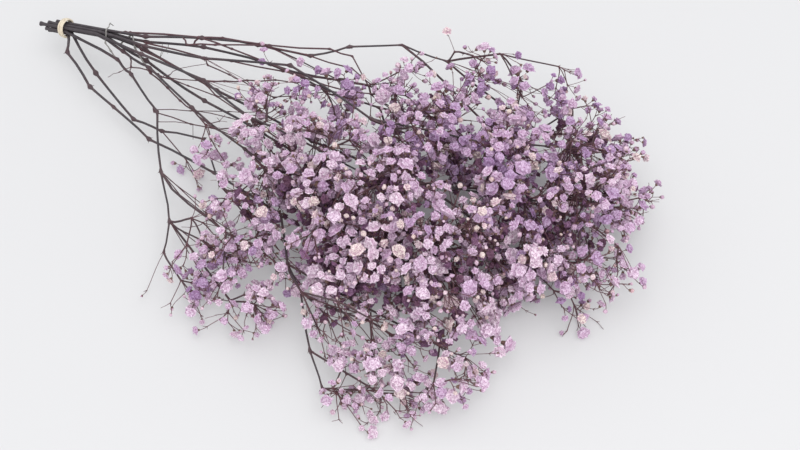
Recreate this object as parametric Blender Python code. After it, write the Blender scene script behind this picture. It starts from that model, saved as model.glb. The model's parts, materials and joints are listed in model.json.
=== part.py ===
"""A bunch of dyed, preserved gypsophila, tied with an elastic band and lying on a table.

Metres, +Z up, the table at Z 0. X runs along the bunch, from the cut ends at -X to the flower
heads at +X. The driving sizes below are in millimetres from the foot of the band: X along the
bunch, Y to the far side, Z above the table. At the end everything moves so that the origin is
under the middle of the bunch.

Each stem grew as one piece, so each is one solid: a jointed main stem, and from its joints the
twigs, which fork again and again until each ends in a bloom. The blooms are larger than life,
one for each small cluster, with five petals round a raised heart.
"""

import itertools
import math
import random

import bmesh
import bpy
import numpy as np
from mathutils import Matrix, Vector
from mathutils.bvhtree import BVHTree

MM = 0.001
SEED = 7

STEM_RADIUS = 1.3 * MM  # at the band
STEM_TIP_RADIUS = 0.75 * MM  # where the main stem gives way to its twigs
JOINT_SWELLING = 1.3  # the radius at a joint, over the radius between joints
TWIG_RADIUS = 0.42 * MM  # of a twig that carries one bloom
TWIG_GROWTH = 0.3  # a twig with n blooms is n ** 0.3 times as thick

BLOOM_RADIUS = 8.0 * MM
PETALS = 5
PETAL_LIFT = 1.3 * MM
NOTCH_SHARE = 0.6  # how far from the middle two petals part, over the bloom's radius
HEART_HEIGHT = 3.0 * MM
CALYX_DEPTH = 4.0 * MM
BLOOM_LEAN = 0.55  # how much a bloom turns up from its twig's run
BLOOM_SPACING = 13.0 * MM
BLOOM_DRIFT = 9 * MM  # how far a bloom may be pushed from its first place
BLOOM_ROOM = 0.85  # the room that a bloom is given, over its radius
BUD_RADIUS = 1.5 * MM
BUD_SHARE = 0.12  # of the twig ends that carry a bud and not a bloom

FORK_ANGLE = math.radians(46)
FORK_REACH = (0.3, 0.8)  # a fork's place between its parent and the blooms that it carries
FORK_POINT = 1.0  # how much a fork's three faces look ahead, over how much they look outward
FORK_LENGTH = 7.0 * MM  # the shortest run between two forks
STALK_LENGTH = 9.0 * MM  # the shortest twig under a bloom or bud
FORK_DRIFT = 18 * MM
SIBLINGS_APART = 0.8  # the gap between two twigs of a fork, over their distance from the fork
CLEARANCE = 0.4 * MM
TABLE_CLEARANCE = 0.4 * MM
PRESSED_BELOW = 6.0 * MM  # a bloom this low lies face down, its heart pressed flat
PRESSED_HEIGHT = HEART_HEIGHT - 0.9 * MM

BAND_HEIGHT = 22  # of the middle of the band above the table, in millimetres
PACK_SPACING = 2.95 * MM  # between the stems where the band holds them
BAND_THICKNESS = 1.3 * MM
BAND_WIDTH = 3.6 * MM
BUNDLE_AHEAD = Vector((30, 8, 28 - BAND_HEIGHT)) * MM  # the packed stems' run past the band

# Each main stem: its place in the pack (across, up), the length of its cut end, whether it
# runs on in the bundle, and its joints.
STEMS = {
    "stem_far_arch": (
        (1.0, 1), 7, True,
        [(65, 23, 36), (106, 42, 46), (148, 58, 53), (190, 69, 60), (208, 91, 64), (237, 115, 66),
         (272, 124, 66)],
    ),
    "stem_far_low": (
        (1.5, 0), 9, True,
        [(66, 22, 32), (109, 40, 40), (165, 52, 49), (211, 55, 54), (258, 66, 54), (295, 87, 52)],
    ),
    "stem_far_mid": (
        (0.0, 1), 12, True,
        [(73, 15, 37), (123, 27, 47), (190, 42, 60), (269, 43, 68), (339, 75, 70), (377, 104, 62)],
    ),
    "stem_top_mid": (
        (-1.0, 1), 17, True,
        [(76, 8, 36), (141, 9, 50), (197, -2, 58), (261, 0, 68), (313, 1, 74)],
    ),
    "stem_near_top": (
        (-0.5, 0), 8, True,
        [(56, 7, 27), (87, 5, 31), (146, -10, 40), (207, -19, 46), (266, -27, 54)],
    ),
    "stem_near_low": (
        (-1.5, 0), 11, False,
        [(54, 2, 21), (74, -3, 22), (119, -20, 26), (158, -56, 20), (193, -83, 16), (207, -103, 12)],
    ),
    "stem_near_mid": (
        (0.0, -1), 6, False,
        [(45, -14, 13), (99, -27, 10), (127, -25, 15), (164, -13, 27), (208, -43, 34)],
    ),
    "stem_near_foot": (
        (-1.0, -1), 10, False,
        [(15, -14, 17), (55, -28, 16), (82, -30, 14), (125, -36, 14), (189, -34, 22), (258, -38, 34),
         (289, -66, 30), (310, -79, 24), (340, -99, 13), (363, -115, 8)],
    ),
    "stem_heart": (
        (1.0, -1), 8, True,
        [(75, 12, 26), (142, 6, 32), (229, 4, 42), (310, -6, 46), (363, -7, 48)],
    ),
    "stem_far_tip": (
        (0.5, 0), 14, True,
        [(71, 17, 30), (143, 18, 34), (232, 22, 38), (318, 38, 42), (382, 66, 44), (411, 95, 42)],
    ),
}

# Each spray: its stem, the joint that it grows from, its middle, its radius across and its
# radius up and down, and how many twig ends it has.
SPRAYS = [
    ("stem_far_arch", 6, (291, 140, 62), 22, 18, 5),
    ("stem_far_arch", 6, (330, 156, 58), 28, 20, 10),
    ("stem_far_arch", 6, (360, 154, 44), 20, 18, 7),
    ("stem_far_arch", 5, (335, 118, 32), 30, 24, 8),
    ("stem_far_arch", 2, (236, 78, 60), 24, 16, 5),
    ("stem_far_low", 3, (231, 46, 58), 26, 18, 9),
    ("stem_far_low", 2, (262, 84, 58), 26, 20, 8),
    ("stem_far_low", 5, (308, 92, 52), 32, 24, 15),
    ("stem_far_low", 4, (280, 66, 13), 32, 14, 9),
    ("stem_far_mid", 3, (309, 47, 76), 32, 24, 15),
    ("stem_far_mid", 4, (362, 79, 74), 32, 24, 15),
    ("stem_far_mid", 5, (392, 118, 56), 30, 26, 15),
    ("stem_far_mid", 5, (396, 150, 40), 20, 20, 8),
    ("stem_top_mid", 2, (211, 0, 62), 26, 20, 10),
    ("stem_top_mid", 3, (270, 0, 76), 30, 22, 14),
    ("stem_top_mid", 4, (325, -2, 84), 32, 22, 17),
    ("stem_near_top", 2, (196, -22, 44), 26, 18, 7),
    ("stem_near_top", 3, (253, -26, 52), 30, 26, 14),
    ("stem_near_top", 4, (302, -34, 64), 30, 24, 17),
    ("stem_near_low", 4, (235, -84, 28), 28, 22, 10),
    ("stem_near_low", 3, (268, -78, 30), 32, 24, 11),
    ("stem_near_low", 4, (285, -98, 16), 24, 16, 7),
    ("stem_near_low", 5, (243, -108, 14), 20, 12, 6),
    ("stem_near_low", 5, (217, -137, 6), 3, 2, 1),
    ("stem_near_mid", 4, (240, -50, 42), 26, 22, 9),
    ("stem_near_mid", 2, (165, -32, 9), 15, 9, 2),
    ("stem_near_foot", 6, (345, -76, 34), 28, 22, 11),
    ("stem_near_foot", 9, (376, -100, 12), 22, 12, 6),
    ("stem_near_foot", 7, (386, -76, 28), 30, 22, 11),
    ("stem_near_foot", 8, (408, -88, 14), 26, 14, 7),
    ("stem_near_foot", 6, (425, -60, 22), 28, 18, 9),
    ("stem_heart", 2, (290, 2, 22), 34, 22, 7),
    ("stem_heart", 3, (325, -52, 40), 28, 24, 12),
    ("stem_heart", 3, (345, -28, 62), 30, 24, 16),
    ("stem_heart", 4, (374, 5, 76), 34, 26, 17),
    ("stem_heart", 4, (388, -26, 44), 34, 26, 16),
    ("stem_heart", 4, (405, 22, 50), 30, 22, 14),
    ("stem_heart", 4, (410, 8, 24), 26, 18, 9),
    ("stem_far_tip", 3, (352, 92, 18), 34, 18, 9),
    ("stem_far_tip", 4, (398, 57, 70), 32, 26, 17),
    ("stem_far_tip", 5, (423, 94, 50), 32, 30, 15),
    ("stem_far_tip", 5, (428, 126, 32), 22, 24, 8),
    ("stem_far_tip", 4, (443, 66, 34), 32, 28, 15),
    ("stem_far_tip", 3, (432, 44, 28), 26, 22, 10),
    ("stem_far_tip", 4, (460, 42, 10), 16, 9, 3),
]

BROWN = (0.085, 0.042, 0.052, 1)
LILAC = (0.52, 0.33, 0.58, 1)
CREAM = (0.72, 0.63, 0.42, 1)


def finish(name, colour, roughness):
    """A plain material."""
    material = bpy.data.materials.new(name)
    material.use_nodes = True
    shader = material.node_tree.nodes["Principled BSDF"]
    shader.inputs["Base Color"].default_value = colour
    shader.inputs["Roughness"].default_value = roughness
    shader.inputs["Metallic"].default_value = 0.0
    return material


class Shoot:
    """One point of the bunch's skeleton: a joint, a fork, or the middle of a bloom or bud."""

    def __init__(self, kind, stem, place, parent=None):
        self.kind = kind
        self.stem = stem
        self.place = np.array(place, float)
        self.parent = parent
        self.children = []
        self.free = 0.0 if kind == "held" else 1.0
        self.pressed = kind == "bloom" and place[2] < PRESSED_BELOW
        if parent is not None:
            parent.children.append(self)

    def ends(self):
        """How many blooms and buds it carries."""
        if self.kind in ("bloom", "bud"):
            return 1
        return sum(child.ends() for child in self.children)

    def radius(self):
        """The twig's radius just below it."""
        return TWIG_RADIUS * self.ends() ** TWIG_GROWTH

    def facing(self):
        """The way that the bloom looks."""
        if self.pressed:
            return np.array((0, 0, -1.0))
        return unit(unit(self.place - self.parent.place) + np.array((0, 0, BLOOM_LEAN)))


def unit(vector):
    return vector / max(np.linalg.norm(vector), 1e-9)


def pack_offset(across_up):
    """A stem's place in the bundle, from the middle of the band."""
    across, up = across_up
    return np.array((0, across, up * math.sqrt(3) / 2)) * PACK_SPACING


def main_stem(name):
    """The joints of one main stem, as a list of Shoots from the cut end on."""
    pack, cut, bundled, joints = STEMS[name]
    band = np.array((0, 0, BAND_HEIGHT * MM)) + pack_offset(pack)
    along = unit(np.array(BUNDLE_AHEAD))
    shoots = [Shoot("held", name, band - along * (cut * MM + BAND_WIDTH))]
    shoots.append(Shoot("held", name, band, shoots[-1]))
    run = np.array(BUNDLE_AHEAD) if bundled else along * BAND_WIDTH * 1.2
    shoots.append(Shoot("held", name, band + run, shoots[-1]))
    for place in joints:
        shoots.append(Shoot("joint", name, np.array(place) * MM, shoots[-1]))
        shoots[-1].free = 0.15
    return shoots


def sow(rng):
    """The places of the twig ends, one list for each spray, kept apart from each other."""
    places, owners = [], []
    for owner, (_, _, middle, across, up, count) in enumerate(SPRAYS):
        size = np.array((across, across, up)) * MM
        for _ in range(count):
            best, best_gap = None, -1.0
            for _ in range(60):
                spot = np.array([rng.uniform(-1, 1) for _ in range(3)])
                if spot @ spot > 1:
                    continue
                spot = np.array(middle) * MM + spot * size
                spot[2] = max(spot[2], PRESSED_HEIGHT)
                gap = min((math.dist(spot, other) for other in places), default=1.0)
                if gap > best_gap:
                    best, best_gap = spot, gap
                if gap > BLOOM_SPACING:
                    break
            places.append(best)
            owners.append(owner)
    middles = np.array([spray[2] for spray in SPRAYS]) * MM
    sizes = np.array([(spray[3], spray[3], spray[4]) for spray in SPRAYS]) * MM
    sown = [[] for _ in SPRAYS]
    for place, owner in zip(places, owners):
        spans = np.linalg.norm((place - middles) / sizes, axis=1)
        nearest = int(np.argmin(spans))
        sown[owner if spans[owner] < 0.6 else nearest].append(place)
    return sown


def parted(places):
    """The places in two or three groups that lie well apart."""
    groups = 2 if len(places) in (2, 4, 5) else 3
    spots = np.array(places)
    if len(places) <= 3:
        return [[place] for place in places]
    seeds = [spots[np.argmax(np.linalg.norm(spots - spots.mean(0), axis=1))]]
    while len(seeds) < groups:
        gaps = np.min([np.linalg.norm(spots - seed, axis=1) for seed in seeds], axis=0)
        seeds.append(spots[np.argmax(gaps)])
    for _ in range(6):
        gaps = np.array([np.linalg.norm(spots - seed, axis=1) for seed in seeds])
        nearest = gaps.argmin(0)
        for k in range(groups):
            if (nearest == k).any():
                seeds[k] = spots[nearest == k].mean(0)
    kept = [group for group in range(groups) if (nearest == group).any()]
    return [[place for place, k in zip(places, nearest) if k == group] for group in kept]


def grow(parent, places, rng):
    """Forks again and again from the parent until each place has its bloom or bud."""
    if len(places) == 1:
        kind = "bud" if parent.kind == "joint" or rng.random() < BUD_SHARE else "bloom"
        Shoot(kind, parent.stem, places[0], parent)
        return
    middle = np.mean(places, axis=0)
    reach = middle - parent.place
    distance = np.linalg.norm(reach)
    heading = unit(reach)
    spread = max(np.linalg.norm(np.cross(place - middle, heading)) for place in places)
    back = min(spread / math.tan(FORK_ANGLE), distance * (1 - FORK_REACH[0]))
    back = max(back, distance * (1 - FORK_REACH[1]))
    fork = Shoot("fork", parent.stem, middle - heading * back, parent)
    for group in parted(places):
        grow(fork, group, rng)


def skeleton():
    """Every Shoot of the bunch, main stems first."""
    rng = random.Random(SEED)
    stems = {name: main_stem(name) for name in STEMS}
    sown = sow(rng)
    for (name, joint, *_), places in zip(SPRAYS, sown):
        if places:
            shoots = stems[name]
            first = len(shoots) - len(STEMS[name][3])
            grow(shoots[first + joint], places, rng)
    found = []

    def gather(shoot):
        found.append(shoot)
        for child in shoot.children:
            gather(child)

    for shoots in stems.values():
        gather(shoots[0])
    return found, stems


def nearest_points(a, b, c, d):
    """Where segments a-b and c-d come closest, as shares of their lengths, row by row."""
    along, other, between = b - a, d - c, a - c
    aa = np.einsum("ij,ij->i", along, along)
    ee = np.einsum("ij,ij->i", other, other)
    f = np.einsum("ij,ij->i", other, between)
    g = np.einsum("ij,ij->i", along, between)
    h = np.einsum("ij,ij->i", along, other)
    tiny = 1e-14
    slant = aa * ee - h * h
    s = np.where(slant > tiny * 1e-6, np.clip((h * f - g * ee) / np.maximum(slant, 1e-20), 0, 1), 0.5)
    s = np.where(aa < tiny, 0, s)
    t = np.clip(np.where(ee < tiny, 0, (h * s + f) / np.maximum(ee, tiny)), 0, 1)
    s = np.clip(np.where(aa < tiny, 0, (h * t - g) / np.maximum(aa, tiny)), 0, 1)
    return s, t


def bars_of(shoots):
    """The skeleton's thick bars: two ends, a radius and a stem each. A bloom is a bar of no length."""
    index = {shoot: k for k, shoot in enumerate(shoots)}
    names = list(STEMS)
    bars = []
    for shoot in shoots:
        k = index[shoot]
        stem = names.index(shoot.stem)
        if shoot.kind == "bloom":
            bars.append((k, k, BLOOM_RADIUS * BLOOM_ROOM, stem))
        elif shoot.kind == "bud":
            bars.append((k, k, BUD_RADIUS, stem))
        if shoot.parent is not None:
            main = shoot.kind in ("held", "joint")
            thick = STEM_RADIUS * JOINT_SWELLING if shoot.kind == "joint" else STEM_RADIUS
            radius = thick if main else shoot.radius() * JOINT_SWELLING
            bars.append((index[shoot.parent], k, radius, stem))
    return bars


def spread_forks(places, runs, siblings):
    """How far each Shoot should move so that the twigs of a fork are long enough and spread."""
    move = np.zeros_like(places)
    child, parent, before, shortest = runs
    reach = places[child] - places[parent]
    length = np.maximum(np.linalg.norm(reach, axis=1), 1e-6)
    ahead = reach / length[:, None]
    lacking = np.maximum(shortest - length, 0)[:, None] * 0.5
    np.add.at(move, child, ahead * lacking)
    np.add.at(move, parent, -ahead * lacking * 0.5)
    onward = places[parent] - places[before]
    onward /= np.maximum(np.linalg.norm(onward, axis=1), 1e-6)[:, None]
    backward = np.maximum(0.35 * length - np.einsum("ij,ij->i", reach, onward), 0)
    np.add.at(move, child, onward * backward[:, None] * 0.5)
    one, two, root = siblings
    first, second = places[one] - places[root], places[two] - places[root]
    near = np.minimum(np.linalg.norm(first, axis=1), np.linalg.norm(second, axis=1))
    first /= np.maximum(np.linalg.norm(first, axis=1), 1e-6)[:, None]
    second /= np.maximum(np.linalg.norm(second, axis=1), 1e-6)[:, None]
    gap = first - second
    apart = np.maximum(np.linalg.norm(gap, axis=1), 1e-3)
    push = gap * (np.maximum(SIBLINGS_APART - apart, 0) / apart * near * 0.3)[:, None]
    np.add.at(move, one, push)
    np.add.at(move, two, -push)
    return move


def twig_links(shoots):
    """The twigs as (child, parent, its parent, shortest length) and the pairs that share a fork."""
    index = {shoot: k for k, shoot in enumerate(shoots)}
    runs, siblings = [], []
    for shoot in shoots:
        twigs = [index[child] for child in shoot.children if child.kind not in ("held", "joint")]
        siblings += [(one, two, index[shoot]) for one, two in itertools.combinations(twigs, 2)]
        for k in twigs:
            shortest = FORK_LENGTH if shoots[k].kind == "fork" else STALK_LENGTH
            runs.append((k, index[shoot], index[shoot.parent], shortest))
    columns = np.array(runs).T
    return (*(column.astype(int) for column in columns[:3]), columns[3]), np.array(siblings).T


def bend_clear(shoots, rounds=160):
    """Moves forks, blooms and buds until no bar lies in another or in the table."""
    places = np.array([shoot.place for shoot in shoots])
    free = np.array([shoot.free for shoot in shoots])
    bars = bars_of(shoots)
    first = np.array([bar[0] for bar in bars])
    last = np.array([bar[1] for bar in bars])
    radius = np.array([bar[2] for bar in bars])
    stem = np.array([bar[3] for bar in bars])
    pairs = np.triu_indices(len(bars), 1)
    apart = (first[pairs[0]] != first[pairs[1]]) & (first[pairs[0]] != last[pairs[1]])
    apart &= (last[pairs[0]] != first[pairs[1]]) & (last[pairs[0]] != last[pairs[1]])
    pairs = (pairs[0][apart], pairs[1][apart])
    runs, siblings = twig_links(shoots)
    sown = places.copy()
    leash = np.array([FORK_DRIFT if shoot.kind == "fork" else BLOOM_DRIFT for shoot in shoots])
    floor = np.array([low_limit(shoot) for shoot in shoots])
    pressed = np.array([shoot.pressed for shoot in shoots])
    worst = 0.0
    for turn in range(rounds):
        if turn % 10 == 0:
            middle = (places[first] + places[last]) / 2
            half = np.linalg.norm(places[first] - places[last], axis=1) / 2 + radius
            i, j = pairs
            close = np.linalg.norm(middle[i] - middle[j], axis=1) < half[i] + half[j] + 5 * MM
            i, j = i[close], j[close]
        a, b, c, d = places[first[i]], places[last[i]], places[first[j]], places[last[j]]
        s, t = nearest_points(a, b, c, d)
        gap = a + (b - a) * s[:, None] - c - (d - c) * t[:, None]
        length = np.linalg.norm(gap, axis=1)
        room = np.where(stem[i] == stem[j], 0.0, CLEARANCE) + radius[i] + radius[j]
        short = room - length
        hit = short > 1e-6
        worst = short[hit & (stem[i] != stem[j])].max(initial=0.0)
        push = gap[hit] / np.maximum(length[hit], 1e-6)[:, None] * (short[hit] * 0.4)[:, None]
        move = np.zeros_like(places)
        count = np.full(len(places), 1e-9)
        for end, share, sign in (
            (first[i][hit], 1 - s[hit], 1), (last[i][hit], s[hit], 1),
            (first[j][hit], 1 - t[hit], -1), (last[j][hit], t[hit], -1),
        ):
            np.add.at(move, end, sign * push * share[:, None])
            np.add.at(count, end, share)
        places += move / np.maximum(count, 1)[:, None] * free[:, None] * 1.6
        if turn < rounds - 20:
            places += spread_forks(places, runs, siblings) * free[:, None]
        drift = places - sown
        far = np.maximum(np.linalg.norm(drift, axis=1) / leash, 1)
        places = sown + drift / far[:, None]
        places[:, 2] = np.where(free > 0, np.maximum(places[:, 2], floor), places[:, 2])
        places[pressed, 2] = PRESSED_HEIGHT
    for shoot, place in zip(shoots, places):
        shoot.place = place
    return worst


def low_limit(shoot):
    """How low a Shoot may lie."""
    if shoot.kind == "bloom":
        return PRESSED_HEIGHT if shoot.pressed else BLOOM_RADIUS + TABLE_CLEARANCE
    if shoot.kind == "bud":
        return BUD_RADIUS + TABLE_CLEARANCE
    if shoot.kind == "joint":
        return STEM_RADIUS * JOINT_SWELLING + TABLE_CLEARANCE
    return shoot.radius() * JOINT_SWELLING + TABLE_CLEARANCE


def frame_about(heading, turn):
    """Two directions square to the heading and to each other, turned about it."""
    helper = np.array((0, 0, 1.0)) if abs(heading[2]) < 0.9 else np.array((1.0, 0, 0))
    side = unit(np.cross(helper, heading))
    other = np.cross(heading, side)
    return (
        side * math.cos(turn) + other * math.sin(turn),
        other * math.cos(turn) - side * math.sin(turn),
    )


def ring_places(middle, heading, turn, radius):
    """Three places round a twig's middle line."""
    side, other = frame_about(heading, turn)
    angles = [math.tau * k / 3 for k in range(3)]
    return [middle + radius * (side * math.cos(angle) + other * math.sin(angle)) for angle in angles]


def matched(face, places):
    """The three places in the order of the face's corners that turns the twig least."""
    corners = [np.array(vert.co) for vert in face.verts]
    middle = np.mean(corners, axis=0)
    centre = np.mean(places, axis=0)

    def likeness(order):
        return sum(unit(c - middle) @ unit(p - centre) for c, p in zip(corners, order))

    return max((places[k:] + places[:k] for k in range(3)), key=likeness)


def face_turn(face, heading):
    """The turn, about the heading, of a three-sided face's first corner."""
    side, other = frame_about(heading, 0)
    out = np.array(face.verts[0].co - face.calc_center_median())
    return math.atan2(out @ other, out @ side)


def fork_turn(shoot, heading, start):
    """The turn of a fork's ring, near that of its start, that faces the twigs above it best."""
    outward = [unit(child.place - shoot.place) for child in shoot.children]

    def fit(turn):
        side, other = frame_about(heading, turn)
        faces = []
        for k in range(3):
            angle = math.radians(60 + 120 * k)
            across = side * math.cos(angle) + other * math.sin(angle)
            faces.append(heading * FORK_POINT + across)
        orders = itertools.permutations(faces, len(outward))
        return max(min(float(unit(face) @ out) for face, out in zip(order, outward)) for order in orders)

    return max((start + math.radians(8 * k) for k in range(-5, 6)), key=fit)


def paired_faces(shoot, faces):
    """Each twig above a fork with the face that looks its way."""
    outward = [unit(child.place - shoot.place) for child in shoot.children]
    normals = [np.array(face.normal) for face in faces]
    orders = itertools.permutations(range(3), len(outward))
    best = max(orders, key=lambda order: min(float(normals[f] @ out) for f, out in zip(order, outward)))
    return [(child, faces[f]) for child, f in zip(shoot.children, best)]


class Spray:
    """The mesh of one three-sided twig with all that it carries."""

    def __init__(self, root, shoot, seed):
        self.root = root
        self.shoot = shoot
        self.seed = seed
        self.untwisted = set()
        self.draw()
        while self.cross(self, self.shape()):
            self.draw()

    def draw(self):
        """Makes the mesh, from the stem out."""
        self.rng = random.Random(self.seed)
        self.drawn = []
        self.bm = bmesh.new()
        self.owner = self.bm.faces.layers.int.new("owner")
        heading = unit(self.shoot.place - self.root.place)
        radius = min(self.shoot.radius(), STEM_TIP_RADIUS)
        ring = ring_places(self.root.place, heading, 0, radius)
        start = [self.bm.verts.new(Vector(place)) for place in ring]
        end = self.bm.verts.new(Vector(self.root.place - heading * radius * 0.5))
        for k in range(3):
            self.bm.faces.new((start[k - 1], start[k], end))
        first = self.bm.faces.new(start)
        first.normal_update()
        self.add(first, self.shoot)
        bmesh.ops.triangulate(self.bm, faces=self.bm.faces)
        bmesh.ops.recalc_face_normals(self.bm, faces=self.bm.faces)
        self.bm.faces.ensure_lookup_table()

    def shape(self):
        """The mesh as a tree that finds crossings."""
        return BVHTree.FromBMesh(self.bm)

    def cross(self, other, shape):
        """Leaves off, here or there, what would grow through a twig or bloom; says if anything was."""
        spoilt = set()
        changed = False
        for a, b in sorted(self.shape().overlap(shape)):
            one, two = self.bm.faces[a], other.bm.faces[b]
            if other is self and (a >= b or set(one.verts) & set(two.verts)):
                continue
            pair = [self.drawn[one[self.owner]], other.drawn[two[other.owner]]]
            least = min(pair, key=lambda shoot: (shoot.ends(), *shoot.place))
            changed = True
            if other is self and least.kind == "fork" and least not in self.untwisted:
                self.untwisted.add(least)
            elif not spoilt.intersection(pair):
                spoilt.add(least)
        for shoot in spoilt:
            leave_off(shoot)
        return changed

    def touches(self, shape):
        """Leaves off what would grow through another stem; says if anything was."""
        spoilt = {self.drawn[self.bm.faces[a][self.owner]] for a, _ in self.shape().overlap(shape)}
        for shoot in spoilt:
            leave_off(shoot)
        return bool(spoilt)

    def own(self, faces):
        """Marks the faces as those of the Shoot drawn last."""
        for face in faces:
            face[self.owner] = len(self.drawn) - 1

    def lengthened(self, face, places):
        """Draws a three-sided face out to three new places and gives the face back."""
        face = bmesh.ops.extrude_discrete_faces(self.bm, faces=[face])["faces"][0]
        for vert, place in zip(face.verts, matched(face, places)):
            vert.co = Vector(place)
            self.own(vert.link_faces)
        return face

    def pointed(self, face, place):
        """Raises a three-sided face to a point and gives its three slopes back."""
        poked = bmesh.ops.poke(self.bm, faces=[face])
        poked["verts"][0].co = Vector(place)
        self.own(poked["faces"])
        for slope in poked["faces"]:
            slope.normal_update()
        return poked["faces"]

    def add(self, face, shoot):
        """Draws the twig out to this Shoot and goes on to what it carries."""
        self.drawn.append(shoot)
        start = np.array(face.calc_center_median())
        if shoot.kind == "fork":
            heading = unit(shoot.place - start)
            thick = shoot.radius() * JOINT_SWELLING
            turn = face_turn(face, heading)
            if shoot not in self.untwisted:
                turn = fork_turn(shoot, heading, turn)
            face = self.lengthened(face, ring_places(shoot.place, heading, turn, thick))
            slopes = self.pointed(face, shoot.place + heading * thick * 0.5)
            for child, slope in paired_faces(shoot, list(slopes)):
                self.add(slope, child)
        elif shoot.kind == "bud":
            heading = unit(shoot.place - start)
            neck = shoot.place - heading * BUD_RADIUS
            turn = face_turn(face, heading)
            face = self.lengthened(face, ring_places(neck, heading, turn, TWIG_RADIUS))
            face = self.lengthened(face, ring_places(shoot.place, heading, turn, BUD_RADIUS))
            self.pointed(face, shoot.place + heading * BUD_RADIUS)
        else:
            heading = shoot.facing()
            neck = shoot.place - heading * CALYX_DEPTH
            along = unit(neck - start)
            face = self.lengthened(face, ring_places(neck, along, face_turn(face, along), TWIG_RADIUS))
            self.open_bloom(face, shoot, heading)

    def open_bloom(self, face, shoot, heading):
        """Widens the twig's end from a calyx to a ring of petals, with a raised heart."""
        neck = list(face.verts)
        bmesh.ops.delete(self.bm, geom=[face], context="FACES_ONLY")
        side, other = frame_about(heading, self.rng.uniform(0, math.tau))
        ring = []
        for k in range(2 * PETALS):
            tip = k % 2 == 0
            reach = BLOOM_RADIUS * (self.rng.uniform(0.88, 1.0) if tip else NOTCH_SHARE)
            lift = PETAL_LIFT * (self.rng.uniform(0.2, 1.6) if tip else 0)
            angle = math.pi * k / PETALS
            place = shoot.place + reach * (side * math.cos(angle) + other * math.sin(angle)) + heading * lift
            ring.append(self.bm.verts.new(Vector(place)))
        heart = self.bm.verts.new(Vector(shoot.place + heading * HEART_HEIGHT))
        self.own(widened(self.bm, neck, ring, heading))
        self.own([self.bm.faces.new((vert, ring[k - 1], heart)) for k, vert in enumerate(ring)])


def widened(bm, neck, ring, heading):
    """Joins a ring of three corners to a wider ring of many with triangles."""
    side, other = frame_about(heading, 0)
    middle = sum((vert.co for vert in neck), Vector()) / 3

    def angle(vert):
        out = np.array(vert.co - middle)
        return math.atan2(out @ other, out @ side)

    if sum(math.sin(angle(neck[(k + 1) % 3]) - angle(neck[k])) for k in range(3)) < 0:
        neck.reverse()
    owners = [max(range(3), key=lambda k, v=vert: math.cos(angle(v) - angle(neck[k]))) for vert in ring]
    faces = []
    for k, vert in enumerate(ring):
        before, here = owners[k - 1], owners[k]
        faces.append(bm.faces.new((neck[before], vert, ring[k - 1])))
        if before != here:
            faces.append(bm.faces.new((neck[before], neck[here], vert)))
    return faces


def leave_off(shoot):
    """Takes a Shoot off its twig, and each fork that is left with nothing to carry."""
    siblings = shoot.parent.children
    if shoot in siblings:
        siblings.remove(shoot)
        if shoot.parent.kind == "fork" and not siblings:
            leave_off(shoot.parent)


def part_sprays(sprays, lines):
    """Leaves off the last blooms that would grow through another stem or what it carries."""
    dirty = list(sprays)
    while dirty:
        shapes = {spray: spray.shape() for spray in sprays}
        changed = set()
        for spray in dirty:
            for name, line in lines.items():
                if name != spray.shoot.stem and spray.touches(line):
                    changed.add(spray)
            for other in sprays:
                if other.shoot.stem != spray.shoot.stem and spray.cross(other, shapes[other]):
                    changed |= {spray, other}
        for spray in changed:
            spray.draw()
            while spray.cross(spray, spray.shape()):
                spray.draw()
        dirty = [spray for spray in sprays if spray in changed]


def mesh_object(name, bm, collection, materials):
    bmesh.ops.recalc_face_normals(bm, faces=bm.faces)
    mesh = bpy.data.meshes.new(name)
    bm.to_mesh(mesh)
    bm.free()
    for material in materials:
        mesh.materials.append(material)
    made = bpy.data.objects.new(name, mesh)
    collection.objects.link(made)
    return made


def stem_object(name, shoots, collection):
    """A jointed main stem as a thick six-sided line, made a mesh so that it can be joined."""
    curve = bpy.data.curves.new(name, "CURVE")
    curve.dimensions = "3D"
    curve.bevel_depth = 1.0
    curve.bevel_resolution = 1
    curve.use_fill_caps = True
    line = curve.splines.new("POLY")
    line.points.add(len(shoots) - 1)
    last = len(shoots) - 1
    for k, (point, shoot) in enumerate(zip(line.points, shoots)):
        share = max(0.0, (k - 2) / (last - 2))
        radius = STEM_RADIUS + (STEM_TIP_RADIUS - STEM_RADIUS) * share
        point.co = (*shoot.place, 1)
        point.radius = radius * (JOINT_SWELLING if shoot.kind == "joint" else 1)
    drawn = bpy.data.objects.new(name + "_line", curve)
    collection.objects.link(drawn)
    bpy.context.view_layer.update()
    graph = bpy.context.evaluated_depsgraph_get()
    bm = bmesh.new()
    mesh = bpy.data.meshes.new_from_object(drawn.evaluated_get(graph))
    bm.from_mesh(mesh)
    bpy.data.meshes.remove(mesh)
    bmesh.ops.remove_doubles(bm, verts=bm.verts, dist=0.01 * MM)
    bpy.data.objects.remove(drawn)
    return mesh_object(name, bm, collection, [])


def apply_modifiers(made):
    """Replaces an object's mesh by the one that its modifiers make."""
    bpy.context.view_layer.update()
    graph = bpy.context.evaluated_depsgraph_get()
    mesh = bpy.data.meshes.new_from_object(made.evaluated_get(graph))
    made.modifiers.clear()
    old = made.data
    made.data = mesh
    mesh.name = made.name
    bpy.data.meshes.remove(old)


def join_all(made, others):
    """Joins everything in a collection to an object, then removes the collection's objects."""
    union = made.modifiers.new("join the twigs", "BOOLEAN")
    union.operation = "UNION"
    union.operand_type = "COLLECTION"
    union.collection = others
    union.solver = "MANIFOLD"
    apply_modifiers(made)
    for other in list(others.objects):
        bpy.data.objects.remove(other)


def press_flat(made, table):
    """Takes off what lies below the table's top, so that the pressed blooms rest on flat spots."""
    cut = made.modifiers.new("press on the table", "BOOLEAN")
    cut.operation = "DIFFERENCE"
    cut.object = table
    cut.solver = "MANIFOLD"
    apply_modifiers(made)


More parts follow.
